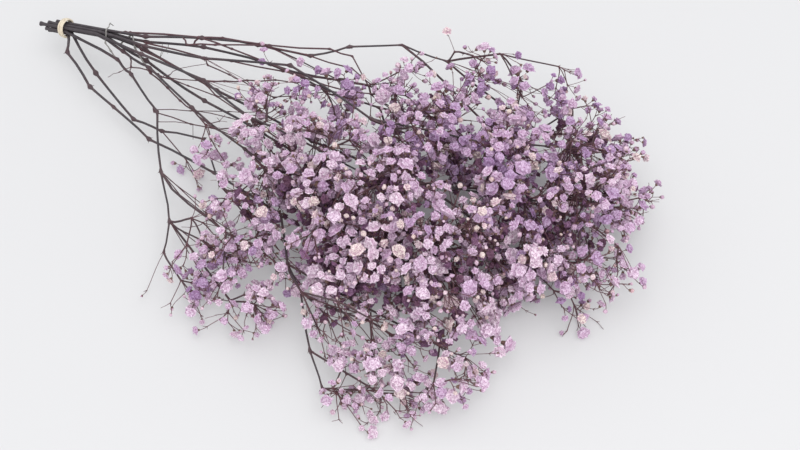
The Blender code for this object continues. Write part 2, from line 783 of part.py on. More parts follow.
def paint(made, ends, brown, lilac):
    """Gives the faces of the blooms and buds the petals' colour and the rest the stem's."""
    made.data.materials.clear()
    made.data.materials.append(brown)
    made.data.materials.append(lilac)
    middles = np.array([shoot.place for shoot in ends])
    for polygon in made.data.polygons:
        gaps = np.linalg.norm(middles - np.array(polygon.center), axis=1)
        polygon.material_index = int(gaps.min() < BLOOM_RADIUS * 0.9)


def elastic_band(collection, material):
    """The band as a turned ring round the packed stems, square to the way they run."""
    inner = 1.5 * PACK_SPACING + STEM_RADIUS + 0.3 * MM
    outer = inner + BAND_THICKNESS
    half = BAND_WIDTH / 2
    corner = 0.45 * MM
    profile = [
        (inner, half - corner), (inner + corner, half), (outer - corner, half), (outer, half - corner),
        (outer, corner - half), (outer - corner, -half), (inner + corner, -half), (inner, corner - half),
    ]
    bm = bmesh.new()
    verts = [bm.verts.new((x, 0, z)) for x, z in profile]
    edges = [bm.edges.new((verts[k - 1], verts[k])) for k in range(len(verts))]
    bmesh.ops.spin(
        bm, geom=verts + edges, cent=(0, 0, 0), axis=(0, 0, 1), angle=math.tau, steps=20, use_merge=True
    )
    bmesh.ops.remove_doubles(bm, verts=bm.verts, dist=0.01 * MM)
    turn = Vector((0, 0, 1)).rotation_difference(BUNDLE_AHEAD).to_matrix().to_4x4()
    bm.transform(Matrix.Translation((0, 0, BAND_HEIGHT * MM)) @ turn)
    made = mesh_object("elastic_band", bm, collection, [material])
    made.data.shade_smooth()
    made.data.set_sharp_from_angle(angle=math.radians(50))
    return made


def table_cutter(collection):
    """A thick table top, used only to flatten what lies on it."""
    bpy.ops.mesh.primitive_cube_add(size=1, location=(0.25, 0, -0.05))
    table = bpy.context.object
    table.name = "table_top"
    table.data.transform(Matrix.Diagonal((1.2, 1.2, 0.1, 1)))
    table.hide_render = True
    table.display_type = "WIRE"
    for holder in list(table.users_collection):
        holder.objects.unlink(table)
    collection.objects.link(table)
    return table


def centre(objects):
    """Moves the origin to under the middle of the bunch."""
    corners = np.array([vert.co for made in objects for vert in made.data.vertices])
    low, high = corners.min(0), corners.max(0)
    middle = (low + high) / 2
    shift = Matrix.Translation((-middle[0], -middle[1], -low[2]))
    for made in objects:
        made.data.transform(shift)


def clear_scene():
    for thing in list(bpy.data.objects):
        bpy.data.objects.remove(thing)


def collection_named(name):
    made = bpy.data.collections.new(name)
    bpy.context.scene.collection.children.link(made)
    return made


def build():
    """Makes the whole bunch and gives the skeleton back."""
    clear_scene()
    parts = collection_named("gypsophila bunch")
    cutters = collection_named("cutters")
    twigs = collection_named("twigs to join")
    cream = finish("elastic", CREAM, 0.5)
    brown = finish("stem bark", BROWN, 0.6)
    lilac = finish("dyed petals", LILAC, 0.8)
    shoots, stems = skeleton()
    overlap = bend_clear(shoots)
    print(f"{sum(s.kind == 'bloom' for s in shoots)} blooms, worst overlap {overlap / MM:.2f} mm")
    bare = {name: stem_object(name, joints, parts) for name, joints in stems.items()}
    graph = bpy.context.evaluated_depsgraph_get()
    lines = {name: BVHTree.FromObject(stem, graph) for name, stem in bare.items()}
    starts = [(shoot.parent, shoot) for shoot in shoots if shoot.kind not in ("held", "joint")]
    starts = [(root, shoot) for root, shoot in starts if root.kind in ("held", "joint")]
    sprays = [Spray(root, shoot, SEED + k) for k, (root, shoot) in enumerate(starts)]
    part_sprays(sprays, lines)
    table = table_cutter(cutters)
    made = []
    for name, stem in bare.items():
        own = [spray for spray in sprays if spray.shoot.stem == name]
        for spray in own:
            mesh_object("twigs", spray.bm, twigs, [])
        join_all(stem, twigs)
        press_flat(stem, table)
        ends = [shoot for spray in own for shoot in spray.drawn if shoot.kind in ("bloom", "bud")]
        paint(stem, ends, brown, lilac)
        made.append(stem)
    made.append(elastic_band(parts, cream))
    centre(made)
    bpy.data.collections.remove(twigs)
    return shoots


if __name__ == "__main__":
    build()
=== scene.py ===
"""The looks of a bunch of dyed, preserved gypsophila that lies on its side, tied with an elastic.

Metres, +Z up, the table at Z 0, +X along the bunch from the cut ends to the flower heads. The
skeleton of stems and twigs is grown again with the same numbers as the solids, so every piece
lies where they lie. Each large bloom of the solids then opens into the small cluster of real
blooms and buds that it stands for, every one on a stalk of its own.
"""

import itertools
import json
import logging
import math
import random
from collections.abc import Iterable, Sequence
from dataclasses import dataclass, field
from enum import Enum

import bmesh
import bpy
import numpy as np
from mathutils import Matrix, Vector
from mathutils.kdtree import KDTree

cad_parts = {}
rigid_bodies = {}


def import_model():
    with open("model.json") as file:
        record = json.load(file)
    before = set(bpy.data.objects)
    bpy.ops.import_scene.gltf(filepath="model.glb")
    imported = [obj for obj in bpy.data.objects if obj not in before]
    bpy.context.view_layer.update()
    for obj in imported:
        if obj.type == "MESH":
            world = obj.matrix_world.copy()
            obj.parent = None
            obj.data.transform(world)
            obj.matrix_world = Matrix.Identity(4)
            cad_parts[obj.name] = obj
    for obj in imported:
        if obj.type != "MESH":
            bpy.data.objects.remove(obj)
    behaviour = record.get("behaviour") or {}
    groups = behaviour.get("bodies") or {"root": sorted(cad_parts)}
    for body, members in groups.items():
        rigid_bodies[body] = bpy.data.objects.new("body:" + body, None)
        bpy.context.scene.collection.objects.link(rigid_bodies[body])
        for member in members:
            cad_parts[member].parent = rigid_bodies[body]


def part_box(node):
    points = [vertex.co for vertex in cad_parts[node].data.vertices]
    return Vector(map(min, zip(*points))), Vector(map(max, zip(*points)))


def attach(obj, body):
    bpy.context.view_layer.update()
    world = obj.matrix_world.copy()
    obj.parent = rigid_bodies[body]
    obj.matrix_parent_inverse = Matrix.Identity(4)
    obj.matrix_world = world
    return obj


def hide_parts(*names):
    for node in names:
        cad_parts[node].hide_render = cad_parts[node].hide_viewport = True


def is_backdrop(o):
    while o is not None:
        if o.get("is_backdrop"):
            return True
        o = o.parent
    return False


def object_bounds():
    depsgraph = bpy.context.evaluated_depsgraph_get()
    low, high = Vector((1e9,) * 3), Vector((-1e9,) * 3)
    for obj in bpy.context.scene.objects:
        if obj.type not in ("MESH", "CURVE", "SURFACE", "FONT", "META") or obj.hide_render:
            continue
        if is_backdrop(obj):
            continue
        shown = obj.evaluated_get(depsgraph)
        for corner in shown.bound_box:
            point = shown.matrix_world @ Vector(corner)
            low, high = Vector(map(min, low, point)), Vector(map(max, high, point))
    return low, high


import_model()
CAD_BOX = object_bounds()
LOG = logging.getLogger("gypsophila bunch")

MM = 0.001
TINY = 1e-6
UP = np.array((0.0, 0.0, 1.0))
BAND_HEIGHT = 22.0 * MM
LOW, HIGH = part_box("elastic_band")
BAND_MIDDLE = (LOW + HIGH) / 2
FOOT = np.array(BAND_MIDDLE) - UP * BAND_HEIGHT  # All routes and places are measured from here.
BODY = "root"

Array = np.ndarray
Colour = tuple[float, float, float]
Route = list[tuple[float, float, float]]


class Kind(Enum):
    """What one point of the bunch's skeleton is."""

    HELD = "held by the band"
    JOINT = "joint of a main stem"
    FORK = "fork"
    BLOOM = "bloom"
    BUD = "bud"
    BARE = "bare twig end"


MAIN = (Kind.HELD, Kind.JOINT)
BRANCHING = (Kind.JOINT, Kind.FORK)
FLOWERS = (Kind.BLOOM, Kind.BUD)
ENDS = (Kind.BLOOM, Kind.BUD, Kind.BARE)


@dataclass(frozen=True)
class SprigHabit:
    """How thin side twigs grow from a fork or from the end of a twig.

    Args:
        counts: How many of them there may be.
        reach: How far each runs before it forks.
        kinds: What its ends may be.
    """

    counts: tuple[int, ...]
    reach: tuple[float, float] = (8.0 * MM, 22.0 * MM)
    kinds: tuple[Kind, ...] = (Kind.BARE, Kind.BARE, Kind.BARE, Kind.BUD, Kind.BLOOM, Kind.BLOOM)


THICK_SPRIGS = SprigHabit((2, 2, 3, 4))
LOOSE_SPRIGS = SprigHabit((2, 3, 3, 4))
THIN_SPRIGS = SprigHabit((0, 0, 1))
ARCH_SPRIGS = SprigHabit((1, 2, 2), (5.0 * MM, 14.0 * MM), (Kind.BUD, Kind.BLOOM, Kind.BLOOM))
TIP_SPRIGS = SprigHabit((0, 0, 1, 1), (5.0 * MM, 12.0 * MM), (Kind.BUD, Kind.BUD, Kind.BLOOM))


@dataclass(frozen=True)
class StemPlan:
    """One main stem.

    Args:
        pack: Its place in the tied bundle, across and up, in stem spacings.
        cut: The length of its cut end behind the band, in millimetres.
        bundled: Whether it runs on in the bundle past the band.
        joints: Its joints, in millimetres from the foot of the band.
        blooms: How many real blooms one of its clusters may have.
        buds: How many buds one of its clusters may have.
        tint: How pale its blooms are dyed, on the scale of LILAC_DYES_AND_SHADE.
        sprigs: How thin side twigs grow from its forks.
        fullness: How wide its blooms open, over the usual width.
    """

    pack: tuple[float, float]
    cut: float
    bundled: bool
    joints: Route
    blooms: tuple[int, ...] = (4, 5, 5, 6)
    buds: tuple[int, ...] = (0, 1, 1, 2)
    tint: float = 0.5
    sprigs: SprigHabit = THICK_SPRIGS
    fullness: float = 1.0


@dataclass(frozen=True)
class SprayPlan:
    """One spray of blooms.

    Args:
        stem: The main stem that carries it.
        joint: The joint that it grows from.
        middle: Its middle, in millimetres from the foot of the band.
        across: Its radius across, in millimetres.
        up: Its radius up and down, in millimetres.
        count: How many twig ends it has.
    """

    stem: str
    joint: int
    middle: tuple[float, float, float]
    across: float
    up: float
    count: int


STEMS = {
    "stem_far_arch": StemPlan((1.0, 1), 7, True, [
        (65, 23, 36), (106, 42, 46), (148, 58, 53), (190, 69, 60), (208, 91, 64), (237, 115, 66),
        (272, 124, 66)], (3, 3, 4), (0, 1, 1), 0.5, ARCH_SPRIGS),
    "stem_far_low": StemPlan((1.5, 0), 9, True, [
        (66, 22, 32), (109, 40, 40), (165, 52, 49), (211, 55, 54), (258, 66, 54),
        (295, 87, 52)]),
    "stem_far_mid": StemPlan((0.0, 1), 12, True, [
        (73, 15, 37), (123, 27, 47), (190, 42, 60), (269, 43, 68), (339, 75, 70), (377, 104, 62)],
        tint=0.52),
    "stem_top_mid": StemPlan((-1.0, 1), 17, True, [
        (76, 8, 36), (141, 9, 50), (197, -2, 58), (261, 0, 68), (313, 1, 74)], tint=0.74),
    "stem_near_top": StemPlan((-0.5, 0), 8, True, [
        (56, 7, 27), (87, 5, 31), (146, -10, 40), (207, -19, 46), (266, -27, 54)],
        tint=0.74, fullness=1.12),
    "stem_near_low": StemPlan((-1.5, 0), 11, False, [
        (54, 2, 21), (74, -3, 22), (119, -20, 26), (158, -56, 20), (193, -83, 16), (207, -103, 12)],
        (4, 4, 5), (0, 1, 1), 0.68, LOOSE_SPRIGS),
    "stem_near_mid": StemPlan((0.0, -1), 6, False, [
        (45, -14, 13), (99, -27, 10), (127, -25, 15), (164, -13, 27), (208, -43, 34)],
        (2, 3, 3), (0, 1, 1), 0.6, LOOSE_SPRIGS),
    "stem_near_foot": StemPlan((-1.0, -1), 10, False, [
        (15, -14, 17), (55, -28, 16), (82, -30, 14), (125, -36, 14), (189, -34, 22), (258, -38, 34),
        (289, -66, 30), (310, -79, 24), (340, -99, 13), (363, -115, 8)],
        (3, 3, 4), (0, 1, 1), 0.78, LOOSE_SPRIGS),
    "stem_heart": StemPlan((1.0, -1), 8, True, [
        (75, 12, 26), (142, 6, 32), (229, 4, 42), (310, -6, 46), (363, -7, 48)],
        tint=0.76, fullness=1.12),
    "stem_far_tip": StemPlan((0.5, 0), 14, True, [
        (71, 17, 30), (143, 18, 34), (232, 22, 38), (318, 38, 42), (382, 66, 44), (411, 95, 42)],
        (3, 4, 5, 5), (0, 1, 1), 0.6),
}

SPRAYS = [SprayPlan(stem, *row) for stem, rows in {
    "stem_far_arch": (
        (6, (291, 140, 62), 22, 18, 5), (6, (330, 156, 58), 28, 20, 10),
        (6, (360, 154, 44), 20, 18, 7), (5, (335, 118, 32), 30, 24, 8),
        (2, (236, 78, 60), 24, 16, 5),
    ),
    "stem_far_low": (
        (3, (231, 46, 58), 26, 18, 9), (2, (262, 84, 58), 26, 20, 8),
        (5, (308, 92, 52), 32, 24, 15), (4, (280, 66, 13), 32, 14, 9),
    ),
    "stem_far_mid": (
        (3, (309, 47, 76), 32, 24, 15), (4, (362, 79, 74), 32, 24, 15),
        (5, (392, 118, 56), 30, 26, 15), (5, (396, 150, 40), 20, 20, 8),
    ),
    "stem_top_mid": (
        (2, (211, 0, 62), 26, 20, 10), (3, (270, 0, 76), 30, 22, 14),
        (4, (325, -2, 84), 32, 22, 17),
    ),
    "stem_near_top": (
        (2, (196, -22, 44), 26, 18, 7), (3, (253, -26, 52), 30, 26, 14),
        (4, (302, -34, 64), 30, 24, 17),
    ),
    "stem_near_low": (
        (4, (235, -84, 28), 28, 22, 10), (3, (268, -78, 30), 32, 24, 11),
        (4, (285, -98, 16), 24, 16, 7), (5, (243, -108, 14), 20, 12, 6),
        (5, (217, -137, 6), 3, 2, 1),
    ),
    "stem_near_mid": (
        (4, (240, -50, 42), 26, 22, 9), (2, (165, -32, 9), 15, 9, 2),
    ),
    "stem_near_foot": (
        (6, (345, -76, 34), 28, 22, 11), (9, (376, -100, 12), 22, 12, 6),
        (7, (386, -76, 28), 30, 22, 11), (8, (408, -88, 14), 26, 14, 7),
        (6, (425, -60, 22), 28, 18, 9),
    ),
    "stem_heart": (
        (2, (290, 2, 22), 34, 22, 7), (3, (325, -52, 40), 28, 24, 12),
        (3, (345, -28, 62), 30, 24, 16), (4, (374, 5, 76), 34, 26, 17),
        (4, (388, -26, 44), 34, 26, 16), (4, (405, 22, 50), 30, 22, 14),
        (4, (410, 8, 24), 26, 18, 9),
    ),
    "stem_far_tip": (
        (3, (352, 92, 18), 34, 18, 9), (4, (398, 57, 70), 32, 26, 17),
        (5, (423, 94, 50), 32, 30, 15), (5, (428, 126, 32), 22, 24, 8),
        (4, (443, 66, 34), 32, 28, 15), (3, (432, 44, 28), 26, 22, 10),
        (4, (460, 42, 10), 16, 9, 3),
    ),
}.items() for row in rows]


@dataclass(frozen=True)
class Offshoot:
    """A thin side branch or loose end that carries no blooms of its own.

    Args:
        stem: The main stem that it leaves.
        foot: Its radius where it leaves, in millimetres.
        tip: Its radius at the other end, in millimetres.
        route: Its joints, in millimetres from the foot of the band.
        joined: Whether it runs on into the twigs of the bunch.
        weathered: Whether its bark is bleached grey.
    """

    stem: str
    foot: float
    tip: float
    route: Route
    joined: bool = True
    weathered: bool = False


OFFSHOOTS = [Offshoot(stem, *row) for stem, rows in {
    "stem_far_arch": (
        (0.85, 0.55, [(49, 22, 31), (104, 41, 46), (121, 49, 50), (157, 61, 56), (198, 81, 63),
            (216, 85, 64)]),
        (0.7, 0.5, [(101, 31, 44), (121, 41, 49), (153, 59, 55), (187, 68, 60), (225, 74, 66)]),
    ),
    "stem_far_low": (
        (0.75, 0.5, [(104, 41, 46), (134, 45, 50), (170, 49, 54), (198, 51, 58), (238, 57, 64)]),
        (0.75, 0.5, [(67, 21, 32), (119, 31, 42), (141, 37, 48), (181, 49, 54), (215, 62, 58)]),
        (0.25, 0.15, [(87, 16, 34), (89, 22, 40), (90, 23, 43), (92, 19, 38)], False, True),
    ),
    "stem_far_mid": (
        (0.6, 0.4, [(119, 31, 42), (126, 27, 42), (147, 28, 45), (160, 28, 47), (192, 27, 52)]),
        (0.8, 0.45, [(68, 15, 30), (109, 15, 36), (131, 15, 38), (147, 23, 42), (161, 32, 45),
            (180, 42, 50)]),
    ),
    "stem_top_mid": (
        (0.65, 0.45, [(131, 15, 38), (150, 11, 38), (181, 9, 40)]),
    ),
    "stem_near_top": (
        (0.6, 0.4, [(70, 1, 24), (87, 5, 28), (101, 3, 32), (129, 15, 37)]),
        (0.55, 0.35, [(100, 4, 31), (124, 8, 34), (150, 11, 38), (174, 20, 42), (185, 24, 44)]),
        (0.35, 0.25, [(104, 8, 32), (109, 13, 38), (126, 26, 44)]),
        (0.8, 0.45, [(88, 4, 27), (110, 0, 29), (127, -4, 30), (141, -5, 30), (154, -7, 30),
            (168, -8, 31)]),
        (0.4, 0.3, [(141, -5, 30), (169, 4, 34), (186, 8, 36)]),
    ),
    "stem_near_low": (
        (0.6, 0.4, [(113, -18, 20), (145, -12, 24), (166, -6, 28), (187, -4, 32)]),
        (0.45, 0.3, [(112, -17, 21), (137, -4, 26), (164, 9, 33), (182, 17, 38)]),
        (0.35, 0.22, [(146, -11, 24), (151, -17, 16)], False),
        (0.45, 0.2, [(70, 1, 24), (63, -5, 19), (57, -12, 15)], False),
        (0.6, 0.35, [(54, 2, 21), (45, 4, 23), (40, 4, 28), (36, 10, 34.5), (33, 17, 34.5),
            (31, 21, 28)], False, True),
    ),
    "stem_heart": (
        (0.75, 0.55, [(52, 21, 32), (63, 13, 31), (79, 7, 28), (89, 4, 26)], True, True),
    ),
}.items() for row in rows]


@dataclass(frozen=True)
class Loner:
    """A few blooms or clusters that leave a main stem at a joint.

    Args:
        stem: The main stem that carries them.
        joint: The joint that they grow from.
        places: Where they are, in millimetres from the foot of the band.
    """

    stem: str
    joint: int
    places: Route

    def ends(self) -> list[Array]:
        """Their places in the frame."""
        return [from_foot(place) for place in self.places]

    def root(self, stems: dict[str, list["Shoot"]]) -> "Shoot":
        """The joint, among the main Shoots of each stem."""
        shoots = stems[self.stem]
        return shoots[len(shoots) - len(STEMS[self.stem].joints) + self.joint]


LONERS = [
    Loner("stem_far_low", 2, [(160, 52, 60), (166, 44, 58)]),
    Loner("stem_far_arch", 2, [(155, 56, 60), (190, 58, 62), (205, 60, 62)]),
    Loner("stem_far_mid", 1, [(162, 24, 52), (172, 25, 54)]),
    Loner("stem_top_mid", 1, [(180, 19, 56), (170, 13, 50), (188, 33, 58)]),
    Loner("stem_far_mid", 4, [(321, 64, 54), (323, 75, 46), (328, 42, 54), (350, 46, 54)]),
    Loner("stem_top_mid", 2, [(213, 14, 49), (234, 9, 56), (237, 19, 49), (252, 9, 56)]),
    Loner("stem_far_arch", 6, [
        (342, 145, 63), (347, 158, 57), (338, 141, 52), (353, 132, 57), (348, 120, 63),
        (358, 143, 52)]),
]
FILLS = [
    Loner("stem_far_low", 5, [
        (303, 84, 28), (318, 64, 40), (334, 73, 30), (321, 78, 24), (332, 56, 46)]),
    Loner("stem_top_mid", 2, [(232, 6, 60), (244, -8, 66)]),
    Loner("stem_near_low", 3, [(213, -60, 24), (238, -69, 26), (267, -67, 28)]),
    Loner("stem_near_low", 4, [
        (232, -83, 16), (259, -84, 22), (252, -80, 28), (270, -75, 26), (266, -92, 20),
        (248, -102, 14)]),
    Loner("stem_near_mid", 4, [
        (279, -52, 34), (286, -60, 24), (299, -62, 28), (311, -70, 24), (295, -71, 20)]),
    Loner("stem_near_foot", 7, [(354, -87, 18), (372, -74, 24), (381, -74, 20), (390, -50, 30)]),
    Loner("stem_near_foot", 9, [
        (367, -93, 14), (381, -113, 10), (403, -119, 6), (409, -83, 8), (419, -75, 14)]),
    Loner("stem_heart", 4, [(426, -22, 24), (434, -21, 20)]),
]


def unit(vector: Array) -> Array:
    """The vector at length one."""
    return vector / max(np.linalg.norm(vector), 1e-9)


def lengths(rows: Array) -> Array:
    """The length of each row."""
    return np.linalg.norm(rows, axis=1)


def units(rows: Array) -> Array:
    """Each row at length one."""
    return rows / np.maximum(lengths(rows), TINY)[:, None]


def dots(ones: Array, others: Array) -> Array:
    """The dot product of each row of one with the same row of the other."""
    return np.einsum("ij,ij->i", ones, others)


def nearest_on(first: Array, last: Array, place: Array) -> Array:
    """The point of each segment that is nearest to a place.

    Args:
        first: Where each segment starts.
        last: Where each one ends.
        place: The place.

    Returns:
        One point for each segment.
    """
    along = last - first
    share = dots(place - first, along) / dots(along, along)
    return first + along * np.clip(share, 0, 1)[:, None]


def from_foot(place: tuple[float, float, float]) -> Array:
    """A place in the frame, from its millimetres from the foot of the band."""
    return np.array(place) * MM + FOOT


def mesh_of(bm: bmesh.types.BMesh, name: str) -> bpy.types.Mesh:
    """A new mesh with a BMesh's shape, which is then freed."""
    mesh = bpy.data.meshes.new(name)
    bm.to_mesh(mesh)
    bm.free()
    return mesh


def put(name: str, data: bpy.types.ID) -> bpy.types.Object:
    """Puts an object with this data in the scene, at the origin."""
    made = bpy.data.objects.new(name, data)
    bpy.context.scene.collection.objects.link(made)
    return made


def aim(made: bpy.types.Object, place: Vector, looks: Vector) -> None:
    """Places a lamp or camera and turns it to look along a direction."""
    made.location = place
    made.rotation_euler = looks.to_track_quat("-Z", "Y").to_euler()


def frame_about(heading: Array, turn: float) -> tuple[Array, Array]:
    """Two directions square to the heading and to each other.

    Args:
        heading: The direction that they stand round.
        turn: How far they are turned about it.

    Returns:
        The two directions.
    """
    helper = UP if abs(heading[2]) < 0.9 else np.array((1.0, 0, 0))
    side = unit(np.cross(helper, heading))
    other = np.cross(heading, side)
    return (
        side * math.cos(turn) + other * math.sin(turn),
        other * math.cos(turn) - side * math.sin(turn),
    )


def standing(place: Array, heading: Array, turn: float, size: float) -> Matrix:
    """The placing that stands a shape on a point, looking along the heading.

    Args:
        place: Where the shape's origin goes.
        heading: Where the shape's Z goes.
        turn: How far it is turned about the heading.
        size: How much larger it gets.

    Returns:
        The placing.
    """
    side, other = frame_about(heading, turn)
    made = Matrix([(*row, 0) for row in np.array((side, other, heading)).T * size] + [(0, 0, 0, 1)])
    made.translation = Vector(place)
    return made


@dataclass(eq=False)
class Shoot:
    """One point of the bunch's skeleton: a joint, a fork, or the middle of a bloom or bud.

    Args:
        kind: What it is.
        stem: The main stem that carries it.
        place: Where it is.
        parent: The Shoot that it grows from.
        free: How far it gives way to what touches it, from 0 to 1.
        size: A bloom's or bud's size, over that of its kind.
        tint: Its place on the scale of LILAC_DYES_AND_SHADE: how pale it is dyed, but at the
            scale's dark
        low end, painted shade.
        children: The Shoots that grow from it.
    """

    kind: Kind
    stem: str
    place: Array
    parent: "Shoot | None" = None
    free: float = 1.0
    size: float = 1.0
    tint: float = 0.5
    children: list["Shoot"] = field(default_factory=list)

    def __post_init__(self) -> None:
        """Takes its place on its parent."""
        if self.parent is not None:
            self.parent.children.append(self)

    def ends(self) -> int:
        """How many blooms and buds it carries."""
        if self.kind in ENDS:
            return 1
        return sum(child.ends() for child in self.children)

    def heading(self) -> Array:
        """The way that it runs from its parent."""
        return unit(self.place - self.parent.place)

    def family(self) -> Iterable["Shoot"]:
        """It and everything that it carries, in order."""
        yield self
        for child in self.children:
            yield from child.family()


def runs_to(shoots: Sequence[Shoot]) -> tuple[Array, Array]:
    """Where the run into each Shoot starts, and where it ends."""
    starts = [shoot.parent.place for shoot in shoots]
    return np.array(starts), np.array([shoot.place for shoot in shoots])


@dataclass
class Skeleton:
    """The branching of the whole bunch, grown and bent as that of the solids."""

    seed: int = 7
    stem_radius: float = 1.3 * MM
    joint_swelling: float = 1.3
    twig_radius: float = 0.42 * MM
    twig_growth: float = 0.3
    cluster_radius: float = 8.0 * MM
    cluster_room: float = 0.85
    cluster_lean: float = 0.55
    cluster_spacing: float = 13.0 * MM
    cluster_drift: float = 9.0 * MM
    bud_radius: float = 1.5 * MM
    bud_share: float = 0.12
    fork_angle: float = math.radians(46)
    fork_reach: tuple[float, float] = (0.3, 0.8)
    fork_length: float = 7.0 * MM
    fork_drift: float = 18.0 * MM
    stalk_length: float = 9.0 * MM
    siblings_apart: float = 0.8
    clearance: float = 0.4 * MM
    pressed_below: float = 6.0 * MM
    pressed_height: float = 2.1 * MM
    band_width: float = 3.6 * MM
    loose_run: float = 1.2
    pack_spacing: float = 2.95 * MM
    bundle_ahead: tuple[float, float, float] = (30 * MM, 8 * MM, 6 * MM)
    joint_freedom: float = 0.15
    sow_tries: int = 60
    own_reach: float = 0.6
    rounds: int = 160
    settling_rounds: int = 20
    pairing_rounds: int = 10
    pairing_margin: float = 5 * MM
    push_share: float = 0.4
    push_gain: float = 1.6
    mend_share: float = 0.5
    least_onward: float = 0.35
    spread_share: float = 0.3
    stems: dict[str, list[Shoot]] = field(default_factory=dict)

    def grown(self) -> list[Shoot]:
        """Grows the bunch, bends it clear and moves it into the frame.

        Returns:
            Every Shoot, one main stem with all that it carries after another.
        """
        rng = random.Random(self.seed)
        self.stems = {name: self.main_stem(name) for name in STEMS}
        for plan, places in zip(SPRAYS, self.sow(rng)):
            if places:
                shoots = self.stems[plan.stem]
                first = len(shoots) - len(STEMS[plan.stem].joints)
                self.grow(shoots[first + plan.joint], places, rng)
        found = [shoot for shoots in self.stems.values() for shoot in shoots[0].family()]
        self.bend_clear(found)
        for shoot in found:
            shoot.place = shoot.place + FOOT
        return found

    def main_stem(self, name: str) -> list[Shoot]:
        """The joints of one main stem, from the cut end on."""
        plan = STEMS[name]
        across, up = plan.pack
        offset = np.array((0, across, up * math.sqrt(3) / 2)) * self.pack_spacing
        band = UP * BAND_HEIGHT + offset
        ahead = np.array(self.bundle_ahead)
        along = unit(ahead)
        run = ahead if plan.bundled else along * self.band_width * self.loose_run
        shoots: list[Shoot] = []
        for place in (band - along * (plan.cut * MM + self.band_width), band, band + run):
            shoots.append(Shoot(Kind.HELD, name, place, shoots[-1] if shoots else None, 0.0))
        for place in plan.joints:
            shoots.append(
                Shoot(Kind.JOINT, name, np.array(place) * MM, shoots[-1], self.joint_freedom)
            )
        return shoots

    def sow(self, rng: random.Random) -> list[list[Array]]:
        """The places of the twig ends, one list for each spray, kept apart from each other."""
        middles = np.array([plan.middle for plan in SPRAYS]) * MM
        sizes = np.array([(plan.across, plan.across, plan.up) for plan in SPRAYS]) * MM
        places: list[Array] = []
        owners: list[int] = []
        for owner, plan in enumerate(SPRAYS):
            for _ in range(plan.count):
                best, best_gap = None, -1.0
                for _ in range(self.sow_tries):
                    spot = np.array([rng.uniform(-1, 1) for _ in range(3)])
                    if spot @ spot > 1:
                        continue
                    spot = middles[owner] + spot * sizes[owner]
                    spot[2] = max(spot[2], self.pressed_height)
                    gap = min((math.dist(spot, other) for other in places), default=1.0)
                    if gap > best_gap:
                        best, best_gap = spot, gap
                    if gap > self.cluster_spacing:
                        break
                places.append(best)
                owners.append(owner)
        sown: list[list[Array]] = [[] for _ in SPRAYS]
        for place, owner in zip(places, owners):
            spans = lengths((place - middles) / sizes)
            nearest = int(np.argmin(spans))
            sown[owner if spans[owner] < self.own_reach else nearest].append(place)
        return sown

    def grow(self, parent: Shoot, places: list[Array], rng: random.Random) -> None:
        """Forks again and again from the parent until each place has its bloom or bud."""
        if len(places) == 1:
            budded = parent.kind is Kind.JOINT or rng.random() < self.bud_share
            Shoot(Kind.BUD if budded else Kind.BLOOM, parent.stem, places[0], parent)
            return
        middle = np.mean(places, axis=0)
        reach = middle - parent.place
        distance = np.linalg.norm(reach)
        heading = unit(reach)
        spread = max(np.linalg.norm(np.cross(place - middle, heading)) for place in places)
        back = min(spread / math.tan(self.fork_angle), distance * (1 - self.fork_reach[0]))
        back = max(back, distance * (1 - self.fork_reach[1]))
        fork = Shoot(Kind.FORK, parent.stem, middle - heading * back, parent)
        for group in parted(places):
            self.grow(fork, group, rng)

    def pressed(self, shoot: Shoot) -> bool:
        """Whether it is a bloom, sown so low that it lies face down."""
        return shoot.kind is Kind.BLOOM and shoot.place[2] < self.pressed_below

    def radius(self, shoot: Shoot) -> float:
        """The solid twig's radius just below a Shoot."""
        return self.twig_radius * shoot.ends() ** self.twig_growth

    def low_limit(self, shoot: Shoot) -> float:
        """How low a Shoot may lie."""
        if self.pressed(shoot):
            return self.pressed_height
        radii = {
            Kind.BLOOM: self.cluster_radius, Kind.BUD: self.bud_radius,
            Kind.JOINT: self.stem_radius * self.joint_swelling,
        }
        own = self.radius(shoot) * self.joint_swelling
        return radii.get(shoot.kind, own) + self.clearance

    def bars_of(self, shoots: list[Shoot]) -> list[tuple[int, int, float, int]]:
        """The skeleton's thick bars: two ends, a radius and a stem; a bloom's has no length."""
        index = {shoot: k for k, shoot in enumerate(shoots)}
        names = list(STEMS)
        bars = []
        for shoot in shoots:
            k = index[shoot]
            stem = names.index(shoot.stem)
            if shoot.kind is Kind.BLOOM:
                bars.append((k, k, self.cluster_radius * self.cluster_room, stem))
            elif shoot.kind is Kind.BUD:
                bars.append((k, k, self.bud_radius, stem))
            if shoot.parent is not None:
                swelling = 1 if shoot.kind is Kind.HELD else self.joint_swelling
                thick = self.stem_radius if shoot.kind in MAIN else self.radius(shoot)
                bars.append((index[shoot.parent], k, thick * swelling, stem))
        return bars

    def twig_links(self, shoots: list[Shoot]) -> tuple[tuple[Array, ...], Array]:
        """The twigs as (child, parent, its parent, shortest length), and the pairs at a fork."""
        index = {shoot: k for k, shoot in enumerate(shoots)}
        runs, siblings = [], []
        for shoot in shoots:
            twigs = [index[child] for child in shoot.children if child.kind not in MAIN]
            siblings += [(one, two, index[shoot]) for one, two in itertools.combinations(twigs, 2)]
            for k in twigs:
                shortest = self.fork_length if shoots[k].kind is Kind.FORK else self.stalk_length
                runs.append((k, index[shoot], index[shoot.parent], shortest))
        columns = np.array(runs).T
        return (*(column.astype(int) for column in columns[:3]), columns[3]), np.array(siblings).T

